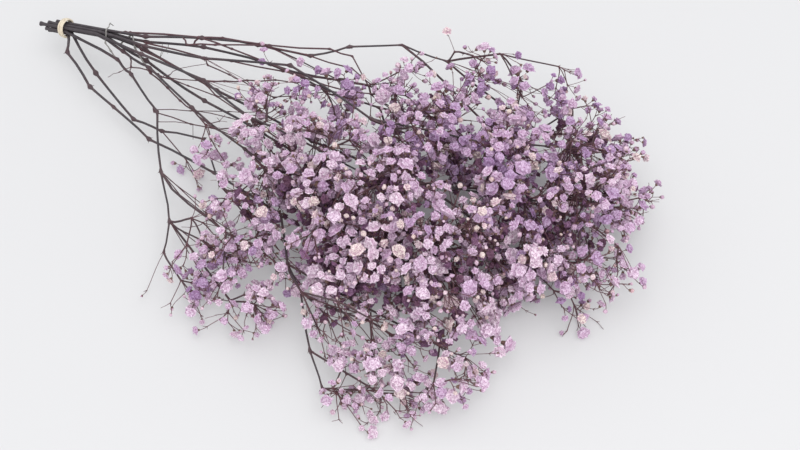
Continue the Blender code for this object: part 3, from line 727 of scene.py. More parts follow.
    def spread_forks(self, places: Array, runs: tuple[Array, ...], siblings: Array) -> Array:
        """How far each Shoot moves so that the twigs of a fork are long enough and spread."""
        move = np.zeros_like(places)
        child, parent, before, shortest = runs
        reach = places[child] - places[parent]
        length = np.maximum(lengths(reach), TINY)
        ahead = reach / length[:, None]
        lacking = np.maximum(shortest - length, 0)[:, None] * self.mend_share
        np.add.at(move, child, ahead * lacking)
        np.add.at(move, parent, -ahead * lacking * 0.5)
        onward = units(places[parent] - places[before])
        backward = np.maximum(self.least_onward * length - dots(reach, onward), 0)
        np.add.at(move, child, onward * backward[:, None] * self.mend_share)
        one, two, root = siblings
        first, second = places[one] - places[root], places[two] - places[root]
        near = np.minimum(lengths(first), lengths(second))
        gap = units(first) - units(second)
        apart = np.maximum(lengths(gap), 1e-3)
        wanted = np.maximum(self.siblings_apart - apart, 0)
        push = gap * (wanted / apart * near * self.spread_share)[:, None]
        np.add.at(move, one, push)
        np.add.at(move, two, -push)
        return move

    def bend_clear(self, shoots: list[Shoot]) -> None:
        """Moves forks, blooms and buds until no bar lies in another or in the table."""
        places = np.array([shoot.place for shoot in shoots])
        free = np.array([shoot.free for shoot in shoots])
        bars = self.bars_of(shoots)
        first, last, radius, stem = (np.array([bar[k] for bar in bars]) for k in range(4))
        pairs = np.triu_indices(len(bars), 1)
        apart = (first[pairs[0]] != first[pairs[1]]) & (first[pairs[0]] != last[pairs[1]])
        apart &= (last[pairs[0]] != first[pairs[1]]) & (last[pairs[0]] != last[pairs[1]])
        pairs = (pairs[0][apart], pairs[1][apart])
        runs, siblings = self.twig_links(shoots)
        sown = places.copy()
        leash = np.array([
            self.fork_drift if shoot.kind is Kind.FORK else self.cluster_drift for shoot in shoots
        ])
        floor = np.array([self.low_limit(shoot) for shoot in shoots])
        pressed = np.array([self.pressed(shoot) for shoot in shoots])
        for turn in range(self.rounds):
            if turn % self.pairing_rounds == 0:
                middle = (places[first] + places[last]) / 2
                half = lengths(places[first] - places[last]) / 2 + radius
                i, j = pairs
                close = lengths(middle[i] - middle[j]) < half[i] + half[j] + self.pairing_margin
                i, j = i[close], j[close]
            a, b, c, d = places[first[i]], places[last[i]], places[first[j]], places[last[j]]
            s, t = nearest_points(a, b, c, d)
            gap = a + (b - a) * s[:, None] - c - (d - c) * t[:, None]
            room = np.where(stem[i] == stem[j], 0.0, self.clearance) + radius[i] + radius[j]
            short = room - lengths(gap)
            hit = short > TINY
            push = units(gap[hit]) * (short[hit] * self.push_share)[:, None]
            move = np.zeros_like(places)
            count = np.full(len(places), 1e-9)
            for end, share, sign in (
                (first[i][hit], 1 - s[hit], 1), (last[i][hit], s[hit], 1),
                (first[j][hit], 1 - t[hit], -1), (last[j][hit], t[hit], -1),
            ):
                np.add.at(move, end, sign * push * share[:, None])
                np.add.at(count, end, share)
            places += move / np.maximum(count, 1)[:, None] * free[:, None] * self.push_gain
            if turn < self.rounds - self.settling_rounds:
                places += self.spread_forks(places, runs, siblings) * free[:, None]
            drift = places - sown
            far = np.maximum(lengths(drift) / leash, 1)
            places = sown + drift / far[:, None]
            places[:, 2] = np.where(free > 0, np.maximum(places[:, 2], floor), places[:, 2])
            places[pressed, 2] = self.pressed_height
        for shoot, place in zip(shoots, places):
            shoot.place = place


def parted(places: Sequence[Array]) -> list[list[Array]]:
    """The places in two or three groups that lie well apart."""
    if len(places) <= 3:
        return [[place] for place in places]
    groups = 2 if len(places) <= 5 else 3
    rounds = 6
    spots = np.array(places)
    seeds = [spots[np.argmax(lengths(spots - spots.mean(0)))]]
    while len(seeds) < groups:
        gaps = np.min([lengths(spots - seed) for seed in seeds], axis=0)
        seeds.append(spots[np.argmax(gaps)])
    for _ in range(rounds):
        gaps = np.array([lengths(spots - seed) for seed in seeds])
        nearest = gaps.argmin(0)
        for k in range(groups):
            if (nearest == k).any():
                seeds[k] = spots[nearest == k].mean(0)
    kept = [group for group in range(groups) if (nearest == group).any()]
    return [[place for place, k in zip(places, nearest) if k == group] for group in kept]


def nearest_points(a: Array, b: Array, c: Array, d: Array) -> tuple[Array, Array]:
    """Where segments a-b and c-d come closest, as shares of their lengths, row by row."""
    along, other, between = b - a, d - c, a - c
    aa, ee = dots(along, along), dots(other, other)
    f, g, h = dots(other, between), dots(along, between), dots(along, other)
    tiny = 1e-14
    slant = aa * ee - h * h
    s = np.clip((h * f - g * ee) / np.maximum(slant, 1e-20), 0, 1)
    s = np.where(slant > 1e-20, s, 0.5)
    s = np.where(aa < tiny, 0, s)
    t = np.clip(np.where(ee < tiny, 0, (h * s + f) / np.maximum(ee, tiny)), 0, 1)
    s = np.clip(np.where(aa < tiny, 0, (h * t - g) / np.maximum(aa, tiny)), 0, 1)
    return s, t


@dataclass
class Cymes:
    """Opens each large bloom of the skeleton into a small cluster of real blooms and buds.

    Tints are places on the scale of LILAC_DYES_AND_SHADE, whose dark low end is painted shade for
    the second layer. Sizes are over that of the shape itself.
    """

    seed: int = 21
    outer_buds: tuple[int, ...] = (0, 1, 1, 2)
    under_blooms: tuple[int, ...] = (3, 3, 4)
    under_size: float = 0.8
    under_strays: tuple[float, float, float] = (1, 1, 0.3)
    loner_kinds: tuple[Kind, ...] = (Kind.BLOOM, Kind.BLOOM, Kind.BUD)
    loner_sizes: tuple[float, float] = (0.7, 1.0)
    loner_tints: tuple[float, float] = (0.3, 0.7)
    spread: float = 7.4 * MM
    rise: float = 5.5 * MM
    bud_spread: float = 11.0 * MM
    bloom_apart: float = 7.0 * MM
    mean_size: float = 0.84
    size_spread: float = 0.21
    size_limits: tuple[float, float] = (0.55, 1.3)
    tint_spread: float = 0.14
    tint_stray: float = 0.09
    lilac_tints: tuple[float, float] = (0.25, 0.92)
    # The second layer's dark tints: painted shade below the thick of the bunch.
    painted_shade_tints: tuple[float, float] = (0.0, 0.16)
    undyed_tints: tuple[float, float] = (0.94, 1.0)
    undyed_share: float = 0.07
    bud_apart: float = 4.6 * MM
    stem_apart: float = 3.6 * MM
    neck: float = 7.0 * MM
    neck_share: float = 0.6
    fork_share: float = 0.45
    dome_heights: tuple[float, float] = (-1, 0.7)
    dome_fall: float = 0.6
    lowest: float = 2.6 * MM
    lowest_stray: float = 1.3
    lowest_fork: float = 0.9 * MM
    lowest_twig: float = 0.8 * MM
    highest: float = 112.0 * MM
    crowd_reach: float = 26.0 * MM
    crowd_outer: int = 6
    crowd_thick: int = 7
    edge_reach: float = 45.0 * MM
    edge_leans: tuple[float, float] = (0.22, 0.38)
    edge_blooms: tuple[int, ...] = (1, 2, 2, 3)
    thin_zone: tuple[float, float] = (200.0 * MM, -20.0 * MM)
    thin_blooms: tuple[int, ...] = (1, 1, 2)
    under_drops: tuple[float, ...] = (15.0 * MM, 30.0 * MM)
    under_floor: float = 12.0 * MM
    sprig_ends: tuple[int, ...] = (1, 2, 2, 3)
    sprig_tips: tuple[float, float] = (4.0 * MM, 9.0 * MM)
    sprig_along: tuple[float, float, float] = (1, 1, 0.7)
    sprig_strays: tuple[float, float, float] = (0.55, 0.55, 0.25)
    tip_strays: tuple[float, float, float] = (0.5, 0.5, 0.5)
    sprig_size: float = 0.72
    sprig_size_range: tuple[float, float] = (0.8, 1.25)
    tries: int = 40
    # What is there so far: x, y, z and half the width of each bloom and bud.
    placed: Array = field(default_factory=lambda: np.zeros((0, 4)))
    # Where each stretch of a main stem starts, and where it ends.
    runs: tuple[Array, Array] = field(default_factory=lambda: (np.zeros((0, 3)),) * 2)

    def __post_init__(self) -> None:
        """Seeds the source of all that is drawn for the clusters."""
        self.rng = random.Random(self.seed)

    def thin(self, shoot: Shoot) -> bool:
        """Whether a Shoot lies on the near side by the tie, where few blooms are."""
        along, across, _ = shoot.place - FOOT
        return along < self.thin_zone[0] and across < self.thin_zone[1]

    def leans(self, middles: Array) -> list[float]:
        """How far the clusters round each one lie to one side of it, seen from above."""
        flat = middles[:, :2]
        found = []
        for place in flat:
            around = flat[lengths(flat - place) < self.edge_reach]
            found.append(float(np.linalg.norm(around.mean(0) - place)) / self.edge_reach)
        return found

    def open_up(self, shoots: list[Shoot], lean: float) -> None:
        """Replaces every large bloom and lone bud, and adds a second layer and the side twigs.

        Args:
            shoots: The Shoots of the skeleton and the fills.
            lean: How much a bloom turns up from its twig's run.
        """
        self.runs = runs_to([shoot for shoot in shoots if shoot.kind is Kind.JOINT])
        ends = [shoot for shoot in shoots if shoot.kind in FLOWERS]
        forks = [shoot for shoot in shoots if shoot.kind is Kind.FORK]
        for parent, place in self.open_ends(ends, lean):
            self.add_under(parent, place)
        for shoot in forks:
            habit = THIN_SPRIGS if self.thin(shoot) else STEMS[shoot.stem].sprigs
            self.sprigs(shoot, habit)
        for shoot in ends:
            if shoot.parent.kind is not Kind.JOINT:
                self.sprigs(shoot, TIP_SPRIGS)

    def open_ends(self, ends: list[Shoot], lean: float) -> list[tuple[Shoot, Array]]:
        """Opens each large bloom and lone bud into its cluster.

        Args:
            ends: The large blooms and lone buds.
            lean: How much a bloom turns up from its twig's run.

        Returns:
            The second layer, below the thick of them, to be tinted dark as painted shade: each
            cluster's parent and its middle.
        """
        middles = np.array([shoot.place for shoot in ends])
        crowds = [int((lengths(middles - place) < self.crowd_reach).sum()) for place in middles]
        inner, edge = self.edge_leans
        under = []
        for shoot, crowd, lean_in in zip(ends, crowds, self.leans(middles)):
            plan = STEMS[shoot.stem]
            facing = unit(shoot.heading() + UP * lean)
            lone = shoot.parent.kind is Kind.JOINT
            shoot.tint = self.stem_tint(shoot.stem)
            chosen = self.edge_blooms if lean_in > edge else plan.blooms
            chosen = self.thin_blooms if self.thin(shoot) else chosen
            blooms = 0 if shoot.kind is Kind.BUD else self.rng.choice(chosen)
            chosen = self.outer_buds if crowd < self.crowd_outer else plan.buds
            buds = 0 if lone else self.rng.choice(chosen)
            # Below the thick of the bunch a second layer of clusters goes in, tinted dark as
            # painted shade.
            if crowd >= self.crowd_thick and lean_in < inner and plan.bundled:
                under += [
                    (shoot.parent, shoot.place - UP * drop) for drop in self.under_drops
                    if shoot.place[2] - drop > self.under_floor
                ]
            self.cluster(shoot, facing, (blooms, buds), 1.0)
        return under

    def add_under(self, parent: Shoot, place: Array) -> None:
        """Adds one cluster of the second layer near a place, tinted dark as painted shade."""
        stray = np.array([self.rng.uniform(-reach, reach) for reach in self.under_strays])
        tint = self.rng.uniform(*self.painted_shade_tints)
        shoot = Shoot(Kind.BLOOM, parent.stem, place + stray * self.spread, parent, tint=tint)
        counts = (self.rng.choice(self.under_blooms), 0)
        self.cluster(shoot, shoot.heading(), counts, self.under_size)

    def stem_tint(self, stem: str) -> float:
        """A tint near that of a stem."""
        return max(self.rng.gauss(STEMS[stem].tint, self.tint_spread), self.lilac_tints[0])

    def sprigs(self, shoot: Shoot, habit: SprigHabit) -> None:
        """Adds thin side twigs, many of them bare where buds have dropped."""
        rng = self.rng
        for _ in range(rng.choice(habit.counts)):
            stray = np.array([rng.gauss(0, spread) for spread in self.sprig_strays])
            heading = unit(shoot.heading() * self.sprig_along + stray)
            place = shoot.place + heading * rng.uniform(*habit.reach)
            place[2] = min(max(place[2], self.lowest_twig), self.highest)
            fork = Shoot(Kind.FORK, shoot.stem, place, shoot)
            for _ in range(rng.choice(self.sprig_ends)):
                stray = np.array([rng.gauss(0, spread) for spread in self.tip_strays])
                aside = unit(heading + stray)
                place = fork.place + aside * rng.uniform(*self.sprig_tips)
                self.lone_end(fork, place, rng.choice(habit.kinds))

    def lone_end(self, parent: Shoot, place: Array, kind: Kind) -> None:
        """Ends a twig in a bloom or bud where there is room for one, and otherwise bare."""
        size = self.sprig_size * self.rng.uniform(*self.sprig_size_range)
        apart = {Kind.BLOOM: self.bloom_apart, Kind.BUD: self.bud_apart}.get(kind, 0) * size
        height = min(max(place[2], self.lowest if apart else self.lowest_twig), self.highest)
        place = np.array((place[0], place[1], height))
        if apart and self.has_room(place, apart):
            self.keep(place, apart)
            tint = self.dye_and_shade_tint(self.stem_tint(parent.stem))
            Shoot(kind, parent.stem, place, parent, size=size, tint=tint)
        else:
            Shoot(Kind.BARE, parent.stem, place, parent)

    def add_fills(self, stems: dict[str, list[Shoot]]) -> list[Shoot]:
        """Adds whole clusters to the thick of the bunch, before they are opened up.

        Args:
            stems: The main Shoots of each stem.

        Returns:
            The new Shoots.
        """
        added = []
        for fill in FILLS:
            root = fill.root(stems)
            before = set(root.family())
            self.branch(root, [(place, Kind.BLOOM, 1.0, 0.5) for place in fill.ends()])
            added += [shoot for shoot in root.family() if shoot not in before]
        return added

    def add_loners(self, stems: dict[str, list[Shoot]]) -> None:
        """Adds the blooms and buds that sit by themselves near the main stems.

        Args:
            stems: The main Shoots of each stem.
        """
        rng = random.Random(self.seed + 1)
        for loner in LONERS:
            ends = []
            for place in loner.ends():
                kind, size = rng.choice(self.loner_kinds), rng.uniform(*self.loner_sizes)
                ends.append((place, kind, size, rng.uniform(*self.loner_tints)))
            self.branch(loner.root(stems), ends)

    def dye_and_shade_tint(self, tint: float) -> float:
        """A bloom's own tint near that of its cluster, kept to the dark painted shade in the second
        layer.
        """
        if self.rng.random() < self.undyed_share:
            return self.rng.uniform(*self.undyed_tints)
        # Second-layer tints stay in the dark range of painted shade.
        low, high = self.painted_shade_tints if tint < self.painted_shade_tints[1] else self.lilac_tints
        return min(max(self.rng.gauss(tint, self.tint_stray), low), high)

    def keep(self, place: Array, apart: float) -> None:
        """Keeps others clear of a bloom or bud of this width."""
        self.placed = np.vstack((self.placed, np.append(place, apart / 2)))

    def has_room(self, place: Array, apart: float) -> bool:
        """Whether a bloom or bud of this width would be clear of the others and of the stems."""
        gaps = lengths(self.placed[:, :3] - place) - self.placed[:, 3] - apart / 2
        if (gaps < 0).any():
            return False
        return lengths(nearest_on(*self.runs, place) - place).min() > self.stem_apart

    def cluster(
        self, shoot: Shoot, facing: Array, counts: tuple[int, int], scale: float
    ) -> None:
        """Turns one large bloom into a fork that carries several small ones.

        Args:
            shoot: The large bloom.
            facing: The way that the cluster looks.
            counts: How many blooms and how many buds it gets.
            scale: Their size, over the usual one.
        """
        middle = shoot.place
        sizes = [(Kind.BLOOM, self.bloom_apart, self.spread)] * counts[0]
        sizes += [(Kind.BUD, self.bud_apart, self.bud_spread)] * counts[1]
        shoot.kind = Kind.FORK
        length = np.linalg.norm(middle - shoot.parent.place)
        shoot.place = middle - facing * min(self.neck, length * self.neck_share)
        shoot.place[2] = max(shoot.place[2], self.lowest_fork)
        found: list[tuple[Array, Kind, float, float]] = []
        for kind, apart, spread in sizes:
            low, high = self.size_limits
            size = self.rng.gauss(self.mean_size, self.size_spread)
            size = min(max(size, low), high) * scale
            place = self.free_place(middle, facing, apart * size, spread)
            if place is not None:
                self.keep(place, apart * size)
                found.append((place, kind, size, self.dye_and_shade_tint(shoot.tint)))
        if not found:
            found.append((middle, Kind.BARE, 1.0, 0.5))
        self.branch(shoot, found)

    def free_place(
        self, middle: Array, facing: Array, apart: float, spread: float
    ) -> Array | None:
        """A place in a low dome round the middle that is clear of all others.

        Args:
            middle: The middle of the cluster.
            facing: The way that the cluster looks.
            apart: The width that the new bloom or bud needs.
            spread: The cluster's radius.

        Returns:
            The place, or None where there is no room.
        """
        rng = self.rng
        side, other = frame_about(facing, 0)
        for _ in range(self.tries):
            angle, out = rng.uniform(0, math.tau), math.sqrt(rng.random())
            height = rng.uniform(*self.dome_heights) * self.rise
            height += (0.5 - out * out) * self.rise * self.dome_fall
            across = side * math.cos(angle) + other * math.sin(angle)
            place = middle + across * out * spread + facing * height
            place[2] = max(place[2], self.lowest * rng.uniform(1, self.lowest_stray))
            if self.has_room(place, apart):
                return place
        return None

    def branch(self, parent: Shoot, ends: list[tuple[Array, Kind, float, float]]) -> None:
        """Forks from the parent until each end has its stalk."""
        if len(ends) <= 2:
            for place, kind, size, tint in ends:
                Shoot(kind, parent.stem, place, parent, size=size, tint=tint)
            return
        for group in parted([end[0] for end in ends]):
            chosen = [end for end in ends if any(end[0] is place for place in group)]
            fork = parent
            if len(chosen) > 1:
                reach = np.mean([end[0] for end in chosen], axis=0) - parent.place
                place = parent.place + reach * self.fork_share
                fork = Shoot(Kind.FORK, parent.stem, place, parent)
            self.branch(fork, chosen)


class Merged:
    """Many meshes in one, with numbers of their own kept at their points."""

    LOWEST = 0.05 * MM

    def __init__(self, name: str, marks: tuple[str, ...]) -> None:
        """Starts an empty mesh.

        Args:
            name: The finished piece's name.
            marks: The names of the numbers.
        """
        self.name = name
        self.bm = bmesh.new()
        self.marks: dict[str, list[Array]] = {mark: [] for mark in marks}

    def add(
        self, mesh: bpy.types.Mesh, place: Matrix | None = None, **marks: float | Array
    ) -> None:
        """Adds a copy of a mesh.

        Args:
            mesh: What is copied.
            place: Where the copy goes.
            marks: A number for the whole copy, or one for each of its points, under each name.
        """
        copy = mesh.copy()
        if place is not None:
            copy.transform(place)
        self.bm.from_mesh(copy)
        count = len(copy.vertices)
        bpy.data.meshes.remove(copy)
        for mark, held in self.marks.items():
            held.append(np.broadcast_to(np.asarray(marks[mark], np.float32), (count,)))

    def finish(self, materials: Sequence[bpy.types.Material]) -> bpy.types.Object:
        """Makes the piece.

        Args:
            materials: Its finishes, in the order of the meshes' own slots.

        Returns:
            The piece's object, at the origin.
        """
        for vert in self.bm.verts:
            vert.co.z = max(vert.co.z, self.LOWEST)
        mesh = mesh_of(self.bm, self.name)
        for mark, held in self.marks.items():
            values = mesh.attributes.new(mark, "FLOAT", "POINT").data
            values.foreach_set("value", np.concatenate(held))
        for material in materials:
            mesh.materials.append(material)
        return put(self.name, mesh)


@dataclass(frozen=True)
class Form:
    """A small shape that is copied many times.

    Args:
        mesh: The shape, with Z the way that it looks.
        petal: For each point, 0 deep between the petals and 1 at a petal's tip; the petal finish
        paints shade where it is low.
    """

    mesh: bpy.types.Mesh
    petal: Array


@dataclass(frozen=True)
class Whorl:
    """One ring of points of a bloom, in millimetres.

    Args:
        tip: The radius at the petals' tips.
        notch: The radius between the petals.
        height: Above the bloom's middle.
        turned: Whether its petals stand between those of the whorl below.
        petal: How far out on the petals it is, from 0 to 1.
        ruffle: How far its points stray, over the bloom's usual share.
    """

    tip: float
    notch: float
    height: float
    turned: bool = False
    petal: float = 0.0
    ruffle: float = 1.0


OPEN_WHORLS = (
    Whorl(1.4, 1.3, -1.3, ruffle=0.2),
    Whorl(4.5, 3.7, -0.1, petal=0.85),
    Whorl(3.0, 2.6, 0.9, ruffle=0.7),
    Whorl(3.1, 2.4, 2.3, turned=True, petal=1.0),
)
HALF_OPEN_WHORLS = (
    Whorl(1.4, 1.3, -1.2, ruffle=0.2),
    Whorl(3.1, 2.4, 0.8, petal=0.8),
    Whorl(1.7, 1.4, 1.3, ruffle=0.5),
    Whorl(2.0, 1.4, 2.8, turned=True, petal=1.0),
)
SPENT_WHORLS = (
    Whorl(0.75, 0.7, -0.4, ruffle=0.3),
    Whorl(1.05, 0.6, 0.7, ruffle=0.8),
)
CLOSED_WHORLS = (
    Whorl(1.45, 1.3, -0.6, ruffle=0.3),
    Whorl(1.9, 1.7, 0.5, petal=0.6, ruffle=0.5),
    Whorl(1.25, 1.0, 1.8, petal=1.0, ruffle=0.7),
)


@dataclass
class BloomForm:
    """Makes the ruffled closed shape of one bloom or bud, from its calyx up, in millimetres."""

    petals: int = 6
    neck_radius: float = 0.8
    neck_depth: float = 3.0
    calyx_rings: int = 1
    stray_out: float = 0.22
    stray_round: float = 0.12
    stray_up: float = 0.6
    heart_drop: float = 0.7
    # The petal mark between the petals and at the sunken heart, where the petal finish paints
    # shade.
    notch_petal: float = 0.35
    heart_petal: float = 0.2

    def made(self, name: str, whorls: Sequence[Whorl], seed: int) -> Form:
        """Makes one shape.

        Args:
            name: The mesh's name.
            whorls: Its rings of points, from the calyx up.
            seed: Sets how its petals stray.

        Returns:
            The shape, in metres, with the calyx in material slot 1 and the petals in slot 0.
        """
        rng = random.Random(seed)
        bm = bmesh.new()
        layer = bm.verts.layers.float.new("petal")
        ring = bmesh.ops.create_circle(
            bm, cap_ends=True, segments=self.petals * 2, radius=self.neck_radius
        )["verts"]
        bmesh.ops.translate(bm, vec=(0, 0, -self.neck_depth), verts=ring)
        face = bm.faces[:][0]
        for number, whorl in enumerate(whorls):
            before = set(bm.faces)
            face = bmesh.ops.extrude_discrete_faces(bm, faces=[face])["faces"][0]
            for k, vert in enumerate(face.verts):
                tipped = (k % 2 == 0) != whorl.turned
                reach = whorl.tip if tipped else whorl.notch
                reach *= 1 + rng.uniform(-1, 1) * self.stray_out * whorl.ruffle
                stray = rng.uniform(-self.stray_round, self.stray_round) * whorl.ruffle
                angle = math.atan2(vert.co.y, vert.co.x) + stray
                height = whorl.height + rng.uniform(-1, 1) * self.stray_up * whorl.ruffle
                vert.co = (reach * math.cos(angle), reach * math.sin(angle), height)
                # Low petal marks between the petals and in the inner whorls give painted shade
                # there.
                vert[layer] = whorl.petal * (1 if tipped else self.notch_petal)
            for made in set(bm.faces) - before | {face}:
                made.material_index = int(number < self.calyx_rings)
        top = bmesh.ops.poke(bm, faces=[face])
        heart = top["verts"][0]
        heart.co.z -= self.heart_drop
        heart[layer] = self.heart_petal
        for slope in top["faces"]:
            slope.material_index = 0
        bmesh.ops.recalc_face_normals(bm, faces=bm.faces)
        bmesh.ops.scale(bm, vec=(MM, MM, MM), verts=bm.verts)
        petal = np.array([vert[layer] for vert in bm.verts], np.float32)
        bm.verts.layers.float.remove(layer)
        return Form(mesh_of(bm, name), petal)


@dataclass
class BractForm:
    """Makes the small dry pointed scale that sits at a joint or fork, of length one millimetre."""

    sides: int = 5
    radius: float = 0.17 * MM
    length: float = 1.0 * MM
    flatness: float = 0.5
    point: float = 0.12

    def made(self) -> bpy.types.Mesh:
        """The scale, with its foot at the origin and Z towards its tip."""
        bm = bmesh.new()
        bmesh.ops.create_cone(
            bm, cap_ends=True, segments=self.sides, radius1=self.radius,
            radius2=self.radius * self.point, depth=self.length,
            matrix=Matrix.Translation((0, 0, self.length / 2)),
        )
        bmesh.ops.scale(bm, vec=(1, self.flatness, 1), verts=bm.verts)
        return mesh_of(bm, "bract")


@dataclass(frozen=True)
class Line:
    """One stretch of stem, twig or stalk.

    Args:
        points: Its points.
        radii: Its radius at each point.
    """

    points: list[Array]
    radii: list[float]


class Grade(Enum):
    """How stout a line is: the sides that it is drawn with, and how young its skin looks."""

    STEM = (3, 0.0)
    BRANCH = (1, 0.15)
    TWIG = (1, 0.4)
    STALK = (0, 0.8)
    WEATHERED = (1, 1.0)

    def mesh(self, name: str, lines: Sequence[Line]) -> bpy.types.Mesh:
        """Draws lines of this grade as round rods.

        Args:
            name: The name to work under.
            lines: The lines.

        Returns:
            One mesh of closed rods.
        """
        curve = bpy.data.curves.new(name, "CURVE")
        curve.dimensions = "3D"
        curve.bevel_depth = 1.0
        curve.bevel_resolution = self.value[0]
        curve.use_fill_caps = True
        for line in lines:
            spline = curve.splines.new("POLY")
            spline.points.add(len(line.points) - 1)
            for point, place, radius in zip(spline.points, line.points, line.radii):
                point.co = (*place, 1)
                point.radius = radius
        drawn = put(name, curve)
        bpy.context.view_layer.update()
        graph = bpy.context.evaluated_depsgraph_get()
        mesh = bpy.data.meshes.new_from_object(drawn.evaluated_get(graph))
        bpy.data.objects.remove(drawn)
        bpy.data.curves.remove(curve)
        return mesh


@dataclass
class Wood:
    """The main stem, twigs and stalks of a stem, with the dry scales at their joints.

    Args:
        rng: The source of its bends and of the scales.
        bract: The shape of a dry scale.
        bark: Its finish.
    """

    rng: random.Random
    bract: bpy.types.Mesh
    bark: bpy.types.Material
    held_radius: float = 1.3 * MM
    stem_radius: float = 1.05 * MM
    tip_radius: float = 0.6 * MM
    cut_swelling: tuple[float, float] = (1.05, 1.6)
    cut_length: float = 3.5 * MM
    joint_swelling: tuple[float, float] = (1.5, 2.2)
    joint_length: float = 3.0 * MM
    bend_places: tuple[float, float] = (0.36, 0.68)
    bend_shares: tuple[float, float] = (0.3, 1)
    bend_swelling: tuple[float, float] = (0.97, 1.04)
    stalk_radius: float = 0.25 * MM
    bare_share: float = 0.85
    growth: float = 0.27
    foot_swelling: float = 1.35
    foot_length: float = 1.2 * MM
    waist: float = 1.05
    start_share: float = 1.06
    taper: float = 0.12
    fork_swelling: float = 1.3
    fork_length: float = 1.0 * MM
    end_share: float = 0.6
    leaves_as_parent: float = 0.25
    arrives_as_flower: float = 0.6
    long_twig: float = 6 * MM
    lowest: float = 0.5 * MM
    bend: float = 0.9 * MM
    bow: float = 0.06
    calyx_depth: float = 3.2 * MM
    bud_depth: float = 1.9 * MM
    twig_points: int = 5
    stalk_ends: int = 3
    branch_ends: int = 16
    bract_length: tuple[float, float] = (1.4, 2.6)
    joint_bract_length: tuple[float, float] = (1.8, 3.2)
    bract_leans: tuple[float, float] = (0.5, 1.2)
    bract_stray: float = 0.4
    bract_pair_share: float = 0.5
    bract_sunk: float = 0.6
    bract_young: tuple[float, float] = (0.1, 0.8)
    redness_reach: float = 3.5 * MM
    join_reaches: tuple[float, float] = (4.0 * MM, 45.0 * MM)
    join_straightness: float = 0.75
    offshoot_back: float = 6 * MM
    offshoot_step: float = 1.8 * MM
    offshoot_step_share: float = 0.3
    offshoot_turn: float = 7.0
    offshoot_bend: float = 0.8
    offshoot_joint: float = 1.6

    def radius(self, shoot: Shoot) -> float:
        """The twig's radius just below a Shoot."""
        share = self.bare_share if shoot.kind is Kind.BARE else 1
        return self.stalk_radius * share * shoot.ends() ** self.growth

    def main_line(self, shoots: list[Shoot]) -> Line:
        """The main stem, swollen at its joints and a little bent between them."""
        rng = self.rng
        last = len(shoots) - 1
        held = sum(shoot.kind is Kind.HELD for shoot in shoots)
        points, radii = [], []
        for k, shoot in enumerate(shoots):
            share = max(0.0, (k - held) / (last - held))
            radius = self.stem_radius + (self.tip_radius - self.stem_radius) * share
            if k < held:
                radius = self.held_radius * (rng.uniform(*self.cut_swelling) if k == 0 else 1)
            if k > 0:
                before = shoots[k - 1].place
                reach = shoot.place - before
                length = np.linalg.norm(reach)
                ahead = reach / length
                if shoot.kind is Kind.JOINT:
                    side, _ = frame_about(ahead, rng.uniform(0, math.tau))
                    for part in self.bend_places:
                        aside = side * self.bend * rng.uniform(*self.bend_shares)
                        points.append(before + reach * part + aside)
                        radii.append(radius * rng.uniform(*self.bend_swelling))
                    points.append(shoot.place - ahead * self.joint_length)
                    radii.append(radius)
            swollen = shoot.kind is Kind.JOINT
            points.append(shoot.place)
            radii.append(radius * (rng.uniform(*self.joint_swelling) if swollen else 1))
            if k < last and (swollen or k == 0):
                onward = unit(shoots[k + 1].place - shoot.place)
                step = self.joint_length if swollen else self.cut_length
                points.append(shoot.place + onward * step)
                radii.append(radius if swollen else self.held_radius)
        return Line(points, radii)

    def twig_line(self, shoot: Shoot, facing: Array | None) -> Line:
        """The twig or stalk below a Shoot, curved from its parent's run into its own.

        Args:
            shoot: The Shoot that it ends at.
            facing: The way that its bloom or bud looks, where it carries one.

        Returns:
            Its line.
        """
        start, end = shoot.parent.place, shoot.place
        if facing is not None:
            depth = self.calyx_depth if shoot.kind is Kind.BLOOM else self.bud_depth
            end = end - facing * depth * shoot.size
        end = np.array((end[0], end[1], max(end[2], self.lowest)))
        reach = end - start
        ahead, length = unit(reach), np.linalg.norm(reach)
        came = shoot.parent.heading() if shoot.parent.parent is not None else ahead
        leaves = facing if facing is not None else ahead
        side, _ = frame_about(ahead, self.rng.uniform(0, math.tau))
        first = ahead * (1 - self.leaves_as_parent) + came * self.leaves_as_parent
        first = start + first * length / 3 + side * length * self.bow
        second = ahead * (1 - self.arrives_as_flower) + leaves * self.arrives_as_flower
        second = end - second * length / 3
        radius = self.radius(shoot)
        points, radii = [], []
        steps = self.twig_points if length > self.long_twig else self.twig_points - 1
        for k in range(steps):
            t = k / (steps - 1)
            points.append(
                start * (1 - t) ** 3 + first * 3 * t * (1 - t) ** 2
                + second * 3 * t * t * (1 - t) + end * t ** 3
            )
            share = self.foot_swelling if k == 0 else self.start_share - self.taper * t
            radii.append(radius * share)
        points.insert(1, self.towards(start, points[1], self.foot_length))
        radii.insert(1, radius * self.waist)
        if shoot.kind is Kind.FORK:
            radii[-1] = radius * self.fork_swelling
            points.insert(-1, self.towards(end, points[-2], self.fork_length))
            radii.insert(-1, radius)
        return Line(points, radii)

    def towards(self, start: Array, end: Array, step: float) -> Array:
        """The point a step from the start, or nearer where the end is close."""
        reach = end - start
        return start + reach * min(step / np.linalg.norm(reach), self.end_share)

    def foot_on(self, main: list[Shoot], place: Array) -> Array:
        """The point of a main stem that is nearest to a place."""
        spots = nearest_on(*runs_to(main[1:]), place)
        return spots[np.argmin(lengths(spots - place))]

